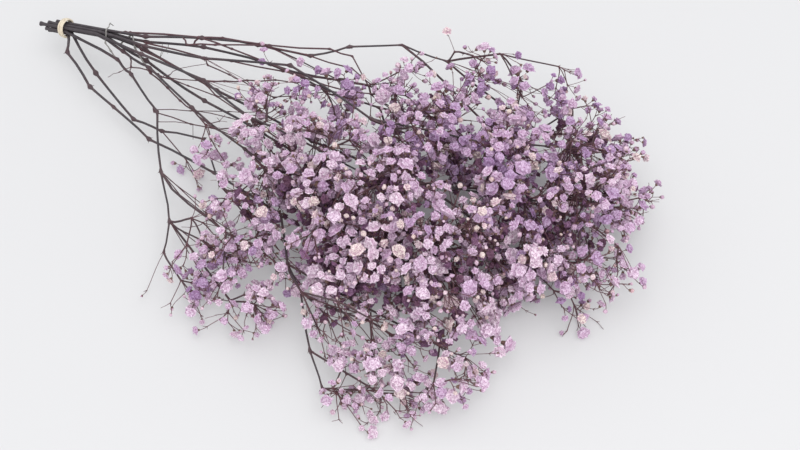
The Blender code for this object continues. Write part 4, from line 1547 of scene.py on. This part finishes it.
    def offshoot_line(self, offshoot: Offshoot, main: list[Shoot], forks: list[Shoot]) -> Line:
        """A side branch with its joints, fast on its stem and, where it runs on, on a fork.

        Args:
            offshoot: What it is.
            main: The main Shoots of its stem.
            forks: Every fork of the bunch.

        Returns:
            Its line.
        """
        route = [from_foot(place) for place in offshoot.route]
        foot = self.foot_on(main, route[0])
        ahead = unit(route[1] - route[0])
        gap = np.linalg.norm(foot - route[0])
        if gap > 1 * MM:
            if (route[0] - foot) @ ahead < 0.5 * gap:
                foot = self.foot_on(main, foot - ahead * self.offshoot_back)
            route.insert(0, foot)
        if offshoot.joined:
            onward = unit(route[-1] - route[-2])
            reaches = np.array([shoot.place for shoot in forks]) - route[-1]
            spans = lengths(reaches)
            shortest, longest = self.join_reaches
            fits = (reaches @ onward > self.join_straightness * spans)
            fits &= (spans < longest) & (spans > shortest)
            if fits.any():
                route.append(forks[int(np.argmin(np.where(fits, spans, 1.0)))].place)
        points, radii = [], []
        for k, place in enumerate(route):
            share = k / (len(route) - 1)
            radius = (offshoot.foot + (offshoot.tip - offshoot.foot) * share) * MM
            if k > 0:
                before = route[k - 1]
                reach = place - before
                ahead = unit(reach)
                step = min(self.offshoot_step, np.linalg.norm(reach) * self.offshoot_step_share)
                side, _ = frame_about(ahead, self.offshoot_turn * k)
                bent = before + reach / 2 + side * self.bend * self.offshoot_bend
                points += [before + ahead * step, bent, place - ahead * step]
                radii += [radius] * 3
            points.append(place)
            radii.append(radius * (self.offshoot_joint if 0 < k < len(route) - 1 else 1.0))
        return Line(points, radii)

    def scales(self, merged: Merged, shoots: list[Shoot]) -> None:
        """Puts dry pointed scales round the joints and forks of a stem."""
        rng = self.rng
        for shoot in shoots:
            if shoot.kind not in BRANCHING or not shoot.children:
                continue
            main = shoot.kind is Kind.JOINT
            along = shoot.heading()
            thick = self.stem_radius if main else self.radius(shoot)
            sizes = self.joint_bract_length if main else self.bract_length
            turn = rng.uniform(0, math.tau)
            for k in range(2 if main or rng.random() < self.bract_pair_share else 1):
                stray = rng.uniform(-self.bract_stray, self.bract_stray)
                side, _ = frame_about(along, turn + k * math.pi + stray)
                heading = unit(along * rng.uniform(*self.bract_leans) + side)
                place = shoot.place + side * thick * self.bract_sunk
                placing = standing(place, heading, turn, rng.uniform(*sizes))
                merged.add(self.bract, placing, young=rng.uniform(*self.bract_young))

    def build(
        self, name: str, main: list[Shoot], extra: Sequence[tuple[Offshoot, Line]],
        facings: dict[Shoot, Array],
    ) -> bpy.types.Object:
        """Makes the wood of one stem.

        Args:
            name: The stem's name.
            main: Its main Shoots, from the cut end on.
            extra: Its side branches and loose ends.
            facings: The way that each of its blooms and buds looks.

        Returns:
            The piece.
        """
        shoots = list(main[0].family())
        lines: dict[Grade, list[Line]] = {grade: [] for grade in Grade}
        lines[Grade.STEM].append(self.main_line(main))
        for shoot in shoots:
            if shoot.kind not in MAIN:
                lines[self.grade(shoot)].append(self.twig_line(shoot, facings.get(shoot)))
        for offshoot, line in extra:
            lines[Grade.WEATHERED if offshoot.weathered else Grade.TWIG].append(line)
        merged = Merged(f"{name}_wood", ("young",))
        for grade, found in lines.items():
            if found:
                merged.add(grade.mesh(f"{name} {grade.name}", found), young=grade.value[1])
        self.scales(merged, shoots)
        self.redden(merged, [shoot for shoot in shoots if shoot.kind in BRANCHING])
        for face in merged.bm.faces:
            face.smooth = True
            face.material_index = 0
        return merged.finish([self.bark])

    def grade(self, shoot: Shoot) -> Grade:
        """How stout the twig below a Shoot is."""
        ends = shoot.ends()
        if ends < self.stalk_ends:
            return Grade.STALK
        return Grade.TWIG if ends < self.branch_ends else Grade.BRANCH

    def redden(self, merged: Merged, joints: list[Shoot]) -> None:
        """Marks each point by how near it is to a joint or fork."""
        tree = KDTree(len(joints))
        for k, shoot in enumerate(joints):
            tree.insert(Vector(shoot.place), k)
        tree.balance()
        near = [tree.find(vert.co)[2] for vert in merged.bm.verts]
        merged.marks["jointed"] = [np.exp(-np.array(near) / self.redness_reach).astype(np.float32)]


@dataclass
class Band:
    """The cream elastic, wound three times round the stems, square to the way they run."""

    name: str = "elastic_band"
    inner: float = 6.05 * MM
    thickness: float = 1.25 * MM
    strand: float = 1.7 * MM
    corner: float = 0.4 * MM
    turns: tuple[tuple[float, float, float], ...] = (
        (-1.6, 2.0, 0.0), (0.05, -1.6, 0.4), (1.55, 3.0, 0.1),
    )
    steps: int = 64
    lobes: int = 3
    lobe_height: float = 0.018

    def ring(self, offset: float, tilt: float, lift: float) -> bpy.types.Mesh:
        """One turn of the elastic.

        Args:
            offset: Along the bundle from the band's middle, in millimetres.
            tilt: Away from square, in degrees.
            lift: How much wider it is than the tightest turn, in millimetres.

        Returns:
            Its mesh, round the Z axis.
        """
        inner = self.inner + lift * MM
        outer = inner + self.thickness
        half = self.strand / 2
        profile = [
            (inner, half - self.corner), (inner + self.corner, half),
            (outer - self.corner, half), (outer, half - self.corner),
            (outer, self.corner - half), (outer - self.corner, -half),
            (inner + self.corner, -half), (inner, self.corner - half),
        ]
        bm = bmesh.new()
        verts = [bm.verts.new((x, 0, z)) for x, z in profile]
        edges = [bm.edges.new((verts[k - 1], verts[k])) for k in range(len(verts))]
        bmesh.ops.spin(
            bm, geom=verts + edges, cent=(0, 0, 0), axis=(0, 0, 1), angle=math.tau,
            steps=self.steps, use_merge=True,
        )
        bmesh.ops.remove_doubles(bm, verts=bm.verts, dist=0.001 * MM)
        for vert in bm.verts:
            angle = math.atan2(vert.co.y, vert.co.x)
            vert.co.x *= 1 + self.lobe_height * math.cos(self.lobes * angle)
            vert.co.y *= 1 + self.lobe_height * math.cos(self.lobes * angle)
        bmesh.ops.recalc_face_normals(bm, faces=bm.faces)
        tilted = Matrix.Rotation(math.radians(tilt), 4, "X")
        bm.transform(Matrix.Translation((0, 0, offset * MM)) @ tilted)
        return mesh_of(bm, self.name)

    def build(self, along: Array, material: bpy.types.Material) -> bpy.types.Object:
        """Makes the band.

        Args:
            along: How the stems run in it.
            material: Its finish.

        Returns:
            The piece.
        """
        turn = Vector(UP).rotation_difference(Vector(unit(along))).to_matrix().to_4x4()
        place = Matrix.Translation(BAND_MIDDLE) @ turn
        merged = Merged(f"{self.name}_turns", ())
        for offset, tilt, lift in self.turns:
            merged.add(self.ring(offset, tilt, lift), place)
        for face in merged.bm.faces:
            face.smooth = True
        return merged.finish([material])


class Wire:
    """One output of a material's nodes, which Python's own + - * join to others."""

    def __init__(self, shading: "Shading", socket: bpy.types.NodeSocket) -> None:
        """Holds the output and the material that it belongs to."""
        self.shading = shading
        self.socket = socket

    def maths(self, operation: str, one: "Wire | float", two: "Wire | float") -> "Wire":
        """The output of a Math node on two values."""
        return self.shading.node("ShaderNodeMath", {"operation": operation}, {0: one, 1: two})

    def __add__(self, other: "Wire | float") -> "Wire":
        """Self plus other."""
        return self.maths("ADD", self, other)

    __radd__ = __add__

    def __mul__(self, other: "Wire | float") -> "Wire":
        """Self times other."""
        return self.maths("MULTIPLY", self, other)

    __rmul__ = __mul__

    def __sub__(self, other: "Wire | float") -> "Wire":
        """Self less other."""
        return self.maths("SUBTRACT", self, other)

    def __rsub__(self, other: "Wire | float") -> "Wire":
        """Other less self."""
        return self.maths("SUBTRACT", other, self)


class Shading:
    """One material: its nodes, and the shader that they lead to."""

    def __init__(self, name: str, **constants: float | Colour) -> None:
        """Starts a material.

        Args:
            name: Its name.
            constants: What is the same all over it, under the shader's own socket names with
                underscores for spaces.
        """
        self.material = bpy.data.materials.new(name)
        self.material.use_nodes = True
        self.tree = self.material.node_tree
        self.shader = self.tree.nodes["Principled BSDF"]
        for socket, value in constants.items():
            self.shader.inputs[socket.replace("_", " ")].default_value = value

    def node(
        self, kind: str, settings: dict[str, object], inputs: dict[str | int, object],
        output: str | int = 0,
    ) -> Wire:
        """Adds a node.

        Args:
            kind: The node's type.
            settings: Its settings; "stops" holds a colour ramp's places and colours.
            inputs: The value or Wire of each input that is set.
            output: Which of its outputs is given back.

        Returns:
            That output.
        """
        made = self.tree.nodes.new(kind)
        for setting, value in settings.items():
            if setting == "stops":
                ramp = made.color_ramp.elements
                while len(ramp) < len(value):
                    ramp.new(1.0)
                for stop, (position, colour) in zip(ramp, value):
                    stop.position = position
                    stop.color = (*colour, 1)
            else:
                setattr(made, setting, value)
        for socket, value in inputs.items():
            if isinstance(value, Wire):
                self.tree.links.new(value.socket, made.inputs[socket])
            else:
                made.inputs[socket].default_value = value
        return Wire(self, made.outputs[output])

    def mark(self, name: str) -> Wire:
        """The number kept at a piece's points under a name."""
        return self.node("ShaderNodeAttribute", {"attribute_name": name}, {}, "Fac")

    def noise(self, size: float, detail: float = 2.0) -> Wire:
        """Soft noise from 0 to 1, with spots of about this size in metres."""
        place = self.node("ShaderNodeTexCoord", {}, {}, "Object")
        return self.node(
            "ShaderNodeTexNoise", {}, {"Vector": place, "Scale": 1 / size, "Detail": detail}, "Fac"
        )

    def ramp(self, amount: Wire, stops: Sequence[tuple[float, Colour]]) -> Wire:
        """Colours along a scale."""
        return self.node("ShaderNodeValToRGB", {"stops": stops}, {"Fac": amount}, "Color")

    def mix(
        self, amount: Wire | float, one: Wire | Colour, two: Wire | Colour, way: str = "MIX"
    ) -> Wire:
        """One colour towards another.

        Args:
            amount: How far, from 0 to 1.
            one: The colour at 0.
            two: The colour at 1.
            way: The blend type.

        Returns:
            The mixed colour.
        """
        one = one if isinstance(one, Wire) else (*one, 1)
        two = two if isinstance(two, Wire) else (*two, 1)
        return self.node(
            "ShaderNodeMix", {"data_type": "RGBA", "blend_type": way},
            {"Factor": amount, 6: one, 7: two}, 2,
        )

    def between(
        self, amount: Wire, low: float, high: float, from_low: float = 0.0, from_high: float = 1.0
    ) -> Wire:
        """A number brought from one range to another, and held in it.

        Args:
            amount: The number.
            low: What it becomes at the low end.
            high: What it becomes at the high end.
            from_low: The low end of its own range.
            from_high: The high end of its own range.

        Returns:
            The number in the new range.
        """
        return self.node("ShaderNodeMapRange", {}, {
            "Value": amount, "From Min": from_low, "From Max": from_high, "To Min": low,
            "To Max": high,
        })

    def bump(self, height: Wire, strength: float, distance: float) -> None:
        """Raises the surface by a height."""
        normal = self.node(
            "ShaderNodeBump", {}, {"Height": height, "Strength": strength, "Distance": distance}
        )
        self.lead(normal, "Normal")

    def lead(self, wire: Wire, socket: str) -> None:
        """Leads a Wire into the shader."""
        self.tree.links.new(wire.socket, self.shader.inputs[socket])


@dataclass(frozen=True)
class BarkFinish:
    """Dark plum-brown bark, redder at the joints and in the young twigs."""

    old: Colour = (0.040, 0.031, 0.037)
    twig: Colour = (0.082, 0.034, 0.042)
    young: Colour = (0.135, 0.062, 0.076)
    joint: Colour = (0.150, 0.052, 0.060)
    grey: Colour = (0.120, 0.108, 0.116)
    weathered: Colour = (0.260, 0.250, 0.235)
    roughness: float = 0.55
    roughness_range: tuple[float, float] = (0.42, 0.72)
    patch_size: float = 6 * MM
    sheen_size: float = 1.5 * MM
    grain_size: float = 0.7 * MM
    grain_depth: float = 0.25 * MM
    joint_share: float = 0.45

    def material(self) -> bpy.types.Material:
        """The finish as a material."""
        made = Shading("bark", Roughness=self.roughness)
        young = made.mark("young")
        base = made.ramp(young, [
            (0.0, self.old), (0.4, self.twig), (0.8, self.young), (1.0, self.weathered)])
        patches = made.between(made.noise(self.patch_size, 3.0), -0.9, 1.1)
        base = made.mix(patches * 0.5, base, self.grey)
        base = made.mix(made.mark("jointed") * self.joint_share, base, self.joint)
        made.lead(base, "Base Color")
        sheen = made.noise(self.sheen_size)
        made.lead(made.between(sheen, *self.roughness_range), "Roughness")
        made.bump(made.noise(self.grain_size, 4.0), 0.5, self.grain_depth)
        return made.material


@dataclass(frozen=True)
class PetalFinish:
    """Thin ruffled petals dyed lilac, unevenly, with some left cream or gone pink, and with
    painted shade between the petals and in the hollows of their crinkles.

    Args:
        name: The material's name.
        tint_colours: The colours along a tint scale that each bloom has a place on; the dark low
            end
        of LILAC_DYES_AND_SHADE is painted shade.
        deep: The dark colour of the random blotches of uneven dyeing, and of the painted shade
        between the petals and in the hollows of their crinkles.
    """

    name: str
    tint_colours: tuple[tuple[float, Colour], ...]
    deep: Colour
    roughness: float = 0.75
    blotch_size: float = 3 * MM
    blotch_share: float = 0.3
    fold_size: float = 0.8 * MM
    fold_depth: float = 0.35 * MM
    fold_shade_share: float = 0.75
    notch_shade_share: float = 0.6

    def material(self) -> bpy.types.Material:
        """The finish as a material."""
        made = Shading(self.name, Roughness=self.roughness)
        colour = made.ramp(made.mark("tint"), self.tint_colours)
        blotches = made.between(made.noise(self.blotch_size, 3.0), 0.0, 1.0, 0.35, 0.7)
        colour = made.mix(blotches * self.blotch_share, colour, self.deep, "MULTIPLY")
        # Painted shade: darker in the hollows of the crinkles, where the bump's noise is low, and
        # deep between the petals, where the petal mark is low.
        fold_shade = made.between(made.noise(self.fold_size, 3.0), 1.0, 0.0, 0.36, 0.52)
        notch_shade = (1 - made.mark("petal")) * self.notch_shade_share
        depth = made.between(notch_shade + fold_shade * self.fold_shade_share, 0.0, 1.0)
        colour = made.mix(depth, colour, self.deep, "MULTIPLY")
        made.lead(colour, "Base Color")
        made.bump(made.noise(self.fold_size, 3.0), 0.6, self.fold_depth)
        return made.material


@dataclass(frozen=True)
class CalyxFinish:
    """The small brown cup below the petals."""

    dry: Colour = (0.125, 0.065, 0.055)
    fresh: Colour = (0.190, 0.120, 0.090)
    roughness: float = 0.7
    mottle_size: float = 1.2 * MM
    grain_size: float = 0.5 * MM
    grain_depth: float = 0.15 * MM

    def material(self) -> bpy.types.Material:
        """The finish as a material."""
        made = Shading("calyx", Roughness=self.roughness)
        made.lead(made.mix(made.noise(self.mottle_size), self.dry, self.fresh), "Base Color")
        made.bump(made.noise(self.grain_size), 0.4, self.grain_depth)
        return made.material


@dataclass(frozen=True)
class ElasticFinish:
    """Cream rubber thread, satin, a little soiled."""

    clean: Colour = (0.740, 0.670, 0.530)
    soiled: Colour = (0.560, 0.460, 0.350)
    roughness: float = 0.5
    roughness_range: tuple[float, float] = (0.4, 0.65)
    dirt_size: float = 3 * MM
    sheen_size: float = 1 * MM
    grain_size: float = 0.45 * MM
    grain_depth: float = 0.2 * MM

    def material(self) -> bpy.types.Material:
        """The finish as a material."""
        made = Shading("elastic", Roughness=self.roughness)
        dirt = made.between(made.noise(self.dirt_size, 3.0), -0.6, 1.4)
        made.lead(made.mix(dirt, self.clean, self.soiled), "Base Color")
        sheen = made.noise(self.sheen_size)
        made.lead(made.between(sheen, *self.roughness_range), "Roughness")
        made.bump(made.noise(self.grain_size, 3.0), 0.5, self.grain_depth)
        return made.material


@dataclass(frozen=True)
class TableFinish:
    """The plain pale floor, which gives off a painted light that lightens its shadows, except
    under the thick of the bunch.

    Args:
        middle: The middle of the thick of the bunch.
        turn: Which way its length runs.
        reach: How far it goes to each side of its middle, along and across.
        fade: Where its edge starts and ends, as squares of shares of the reach.
        plain_colour: Its plain colour, under the thick of the bunch, where no light is painted.
        glowing_colour: Its colour where light is painted, darker so that the open floor is as
            bright.
        painted_glow: The painted light that the floor gives off, though it is no lamp.
    """

    middle: Array
    turn: float
    reach: tuple[float, float] = (0.130, 0.080)
    fade: tuple[float, float] = (0.5, 1.4)
    plain_colour: Colour = (0.605, 0.605, 0.61)
    glowing_colour: Colour = (0.43, 0.43, 0.435)
    painted_glow: Colour = (0.245, 0.245, 0.248)

    def material(self) -> bpy.types.Material:
        """The finish as a material."""
        made = Shading("pale floor", Roughness=0.9, Emission_Strength=1.0)
        place = made.node("ShaderNodeTexCoord", {}, {}, "Object")
        sin, cos = math.sin(self.turn), math.cos(self.turn)
        spans = []
        for way, reach in zip(((cos, sin, 0.0), (-sin, cos, 0.0)), self.reach):
            along = made.node(
                "ShaderNodeVectorMath", {"operation": "DOT_PRODUCT"}, {0: place, 1: way}, "Value"
            )
            span = (along - float(np.dot(way, self.middle))) * (1 / reach)
            spans.append(span * span)
        # Away from the thick of the bunch the floor gives off painted light, to lighten its
        # shadows.
        painted_glow_mask = made.between(spans[0] + spans[1], 0.0, 1.0, *self.fade)
        made.lead(made.mix(painted_glow_mask, self.plain_colour, self.glowing_colour), "Base Color")
        made.lead(made.mix(painted_glow_mask, (0.0, 0.0, 0.0), self.painted_glow), "Emission Color")
        return made.material


# The stops at 0 and 0.15 are painted shade, for the dark second layer below the thick of the bunch;
# the rest are the lilac, cream and pink that the blooms are dyed.
LILAC_DYES_AND_SHADE = (
    (0.00, (0.185, 0.09, 0.145)), (0.15, (0.34, 0.195, 0.32)), (0.27, (0.49, 0.355, 0.57)),
    (0.42, (0.62, 0.485, 0.68)), (0.60, (0.765, 0.62, 0.77)), (0.80, (0.87, 0.77, 0.865)),
    (0.92, (0.92, 0.83, 0.89)), (0.96, (0.93, 0.89, 0.77)), (1.00, (0.93, 0.83, 0.80)),
)
LILAC_DEEP = (0.49, 0.31, 0.44)
BUD_DYES = (
    (0.00, (0.26, 0.15, 0.19)), (0.20, (0.52, 0.37, 0.54)), (0.50, (0.68, 0.51, 0.65)),
    (0.85, (0.80, 0.66, 0.72)), (0.95, (0.84, 0.77, 0.65)), (1.00, (0.72, 0.48, 0.52)),
)
BUD_DEEP = (0.60, 0.46, 0.54)


@dataclass(frozen=True)
class Forms:
    """The small shapes that the bunch is made of, copied many times.

    Args:
        opened: Open blooms.
        cups: Half-open blooms.
        closed: Buds.
        spent: The calyx that a dropped bloom leaves.
        bract: A dry scale.
    """

    opened: list[Form]
    cups: list[Form]
    closed: list[Form]
    spent: Form
    bract: bpy.types.Mesh

    def remove(self) -> None:
        """Removes the shapes once they are copied."""
        forms = (*self.opened, *self.cups, *self.closed, self.spent)
        for mesh in (*(form.mesh for form in forms), self.bract):
            bpy.data.meshes.remove(mesh)


@dataclass
class Bunch:
    """The whole tied bunch."""

    seed: int = 5
    bloom_forms: int = 6
    cup_forms: int = 2
    bud_forms: int = 3
    form_seeds: tuple[int, int, int, int] = (100, 200, 300, 400)
    half_open_share: float = 0.2
    spent_share: float = 0.3
    spent_sizes: tuple[float, float] = (0.7, 1.1)
    spent_tint: float = 0.5
    squash: tuple[float, float] = (0.78, 1.18)
    outward: float = 0.35
    stray: float = 0.4
    stray_share: float = 0.6
    skeleton: Skeleton = field(default_factory=Skeleton)
    cymes: Cymes = field(default_factory=Cymes)
    band: Band = field(default_factory=Band)

    def __post_init__(self) -> None:
        """Makes what its stems share: the seeded draws, the small shapes and the finishes."""
        self.rng = random.Random(self.seed)
        self.forms = self.made_forms()
        self.wood = Wood(self.rng, self.forms.bract, BarkFinish().material())
        petals = PetalFinish("lilac petals", LILAC_DYES_AND_SHADE, LILAC_DEEP).material()
        buds = PetalFinish("bud petals", BUD_DYES, BUD_DEEP).material()
        calyx = CalyxFinish().material()
        self.bloom_finish = [petals, calyx]
        self.bud_finish = [buds, calyx]

    def facing(self, shoot: Shoot) -> Array:
        """The way that a bloom or bud looks: along its stalk, up, and a little anyhow."""
        stray = np.array([self.rng.gauss(0, self.stray) for _ in range(3)])
        return unit(shoot.heading() + UP * self.outward + stray * self.stray_share)

    def made_forms(self) -> Forms:
        """Makes the small shapes."""
        bloom = BloomForm()
        bud = BloomForm(
            petals=4, neck_radius=0.75, neck_depth=1.8, stray_out=0.14, stray_up=0.25,
            heart_drop=-0.15,
        )
        calyx = BloomForm(petals=3, neck_radius=0.35, neck_depth=1.2, calyx_rings=2)
        opened, cups, closed, spent = self.form_seeds
        return Forms(
            [bloom.made(f"bloom {k}", OPEN_WHORLS, opened + k) for k in range(self.bloom_forms)],
            [bloom.made(f"cup {k}", HALF_OPEN_WHORLS, cups + k) for k in range(self.cup_forms)],
            [bud.made(f"bud {k}", CLOSED_WHORLS, closed + k) for k in range(self.bud_forms)],
            calyx.made("spent calyx", SPENT_WHORLS, spent),
            BractForm().made(),
        )

    def flowers(
        self, name: str, facings: dict[Shoot, Array], bare: list[Shoot]
    ) -> tuple[Merged, Merged]:
        """Gathers the blooms of one stem, and its buds with its spent calyxes.

        Args:
            name: The stem's name.
            facings: Its blooms and buds, each with the way that it looks.
            bare: The twig ends that still hold a spent calyx.

        Returns:
            The blooms, and the buds.
        """
        rng, forms = self.rng, self.forms
        blooms = Merged(f"{name}_blooms", ("tint", "petal"))
        buds = Merged(f"{name}_buds", ("tint", "petal"))
        for shoot, facing in facings.items():
            blooming = shoot.kind is Kind.BLOOM
            half = blooming and rng.random() < self.half_open_share
            form = rng.choice(forms.cups if half else forms.opened if blooming else forms.closed)
            place = standing(shoot.place, facing, rng.uniform(0, math.tau), shoot.size)
            place @= Matrix.Diagonal((1, rng.uniform(*self.squash), rng.uniform(*self.squash), 1))
            place @= Matrix.Scale(STEMS[name].fullness if blooming else 1.0, 4)
            piece = blooms if blooming else buds
            piece.add(form.mesh, place, tint=shoot.tint, petal=form.petal)
        for shoot in bare:
            place = standing(shoot.place, shoot.heading(), 0, rng.uniform(*self.spent_sizes))
            buds.add(forms.spent.mesh, place, tint=self.spent_tint, petal=0.0)
        return blooms, buds

    def stem(self, name: str, forks: list[Shoot]) -> list[bpy.types.Object]:
        """Makes one stem with its blooms and buds.

        Args:
            name: Its name.
            forks: Every fork of the solids' bunch.

        Returns:
            Its pieces, each named for the node that it replaces.
        """
        main = self.skeleton.stems[name]
        family = list(main[0].family())
        bare = [
            shoot for shoot in family
            if shoot.kind is Kind.BARE and self.rng.random() < self.spent_share
        ]
        facings = {shoot: self.facing(shoot) for shoot in family if shoot.kind in FLOWERS}
        blooms, buds = self.flowers(name, facings, bare)
        extra = [
            (offshoot, self.wood.offshoot_line(offshoot, main, forks))
            for offshoot in OFFSHOOTS if offshoot.stem == name
        ]
        pieces = [
            self.wood.build(name, main, extra, facings),
            blooms.finish(self.bloom_finish),
            buds.finish(self.bud_finish),
        ]
        for piece in pieces:
            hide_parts(name)
        LOG.info("%s: %d blooms and buds", name, len(facings))
        return pieces

    def build(self) -> list[bpy.types.Object]:
        """Makes every piece.

        Returns:
            The pieces, each riding on the body and named for the node that it replaces.
        """
        skeleton = self.skeleton
        shoots = skeleton.grown()
        forks = [shoot for shoot in shoots if shoot.kind is Kind.FORK]
        shoots += self.cymes.add_fills(skeleton.stems)
        self.cymes.open_up(shoots, skeleton.cluster_lean)
        self.cymes.add_loners(skeleton.stems)
        pieces = []
        for name in skeleton.stems:
            pieces += self.stem(name, forks)
        elastic = self.band.build(np.array(skeleton.bundle_ahead), ElasticFinish().material())
        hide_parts("elastic_band")
        pieces.append(elastic)
        for piece in pieces:
            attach(piece, BODY)
        self.forms.remove()
        return pieces


@dataclass(frozen=True)
class Lamp:
    """A square soft light that looks at the camera's target.

    Args:
        name: Its name.
        offset: Where it hangs, from the target.
        side: Its side.
        power: In watts.
        colour: Of its light.
    """

    name: str
    offset: tuple[float, float, float]
    side: float
    power: float
    colour: Colour = (1.0, 0.99, 0.98)

    def hang(self, target: Array) -> None:
        """Puts it in the scene, looking at the target."""
        data = bpy.data.lights.new(self.name, "AREA")
        data.size = self.side
        data.energy = self.power
        data.color = self.colour
        place = target + self.offset
        aim(put(self.name, data), Vector(place), Vector(target - place))


@dataclass
class Studio:
    """The pale floor, the soft light and the camera."""

    floor_side: float = 12.0
    # The middle of the thick of the bunch, from the target; round it the floor gives off no painted
    # light.
    thick_middle: tuple[float, float, float] = (0.005, 0.049, 0.0)
    camera_target: tuple[float, float, float] = (0.3247, 0.0083, 0.03)
    camera_distance: float = 1.15
    camera_elevation: float = math.radians(50)
    camera_turn: float = math.radians(40)
    sensor: float = 36
    lens: float = 1691 * 36 / 800
    lamps: tuple[Lamp, ...] = (
        Lamp("overhead", (0.2, 0.2, 2.0), 2.6, 16),
        Lamp("front", (1.1, -0.95, 1.5), 2.0, 19),
    )
    world: Colour = (0.93, 0.94, 0.96)
    world_strength: float = 1.0

    def floor(self, target: Array) -> None:
        """The floor that the bunch lies on."""
        bm = bmesh.new()
        bmesh.ops.create_grid(bm, x_segments=2, y_segments=2, size=self.floor_side / 2)
        mesh = mesh_of(bm, "floor")
        middle = target + np.array(self.thick_middle)
        mesh.materials.append(TableFinish(middle, self.camera_turn).material())
        made = put("floor", mesh)
        made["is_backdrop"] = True

    def camera(self, target: Array) -> None:
        """The camera, at the photograph's angle."""
        sin, cos = math.sin, math.cos
        turn, tilt = self.camera_turn, self.camera_elevation
        looks = Vector((-sin(turn) * cos(tilt), cos(turn) * cos(tilt), -sin(tilt)))
        data = bpy.data.cameras.new("camera")
        data.sensor_width = self.sensor
        data.lens = self.lens
        made = put("camera", data)
        aim(made, Vector(target) - looks * self.camera_distance, looks)
        bpy.context.scene.camera = made

    def build(self) -> None:
        """Sets up the studio."""
        target = FOOT + np.array(self.camera_target)
        self.floor(target)
        self.camera(target)
        for lamp in self.lamps:
            lamp.hang(target)
        world = bpy.data.worlds.new("pale room")
        world.use_nodes = True
        background = world.node_tree.nodes["Background"]
        background.inputs["Color"].default_value = (*self.world, 1)
        background.inputs["Strength"].default_value = self.world_strength
        bpy.context.scene.world = world
        bpy.context.scene.view_settings.view_transform = "Standard"


def main() -> None:
    """Builds the bunch and the studio, and reports each piece."""
    logging.basicConfig(level=logging.INFO, format="%(name)s: %(message)s")
    Studio().build()
    for piece in Bunch().build():
        mesh = piece.data
        mesh.calc_loop_triangles()
        LOG.info("%s: %d triangles", piece.name, len(mesh.loop_triangles))
    boxes = {"cad": CAD_BOX, "visual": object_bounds()}
    plain = {name: [list(corner) for corner in box] for name, box in boxes.items()}
    LOG.info("sizes: %s", plain)


if __name__ == "__main__":
    main()
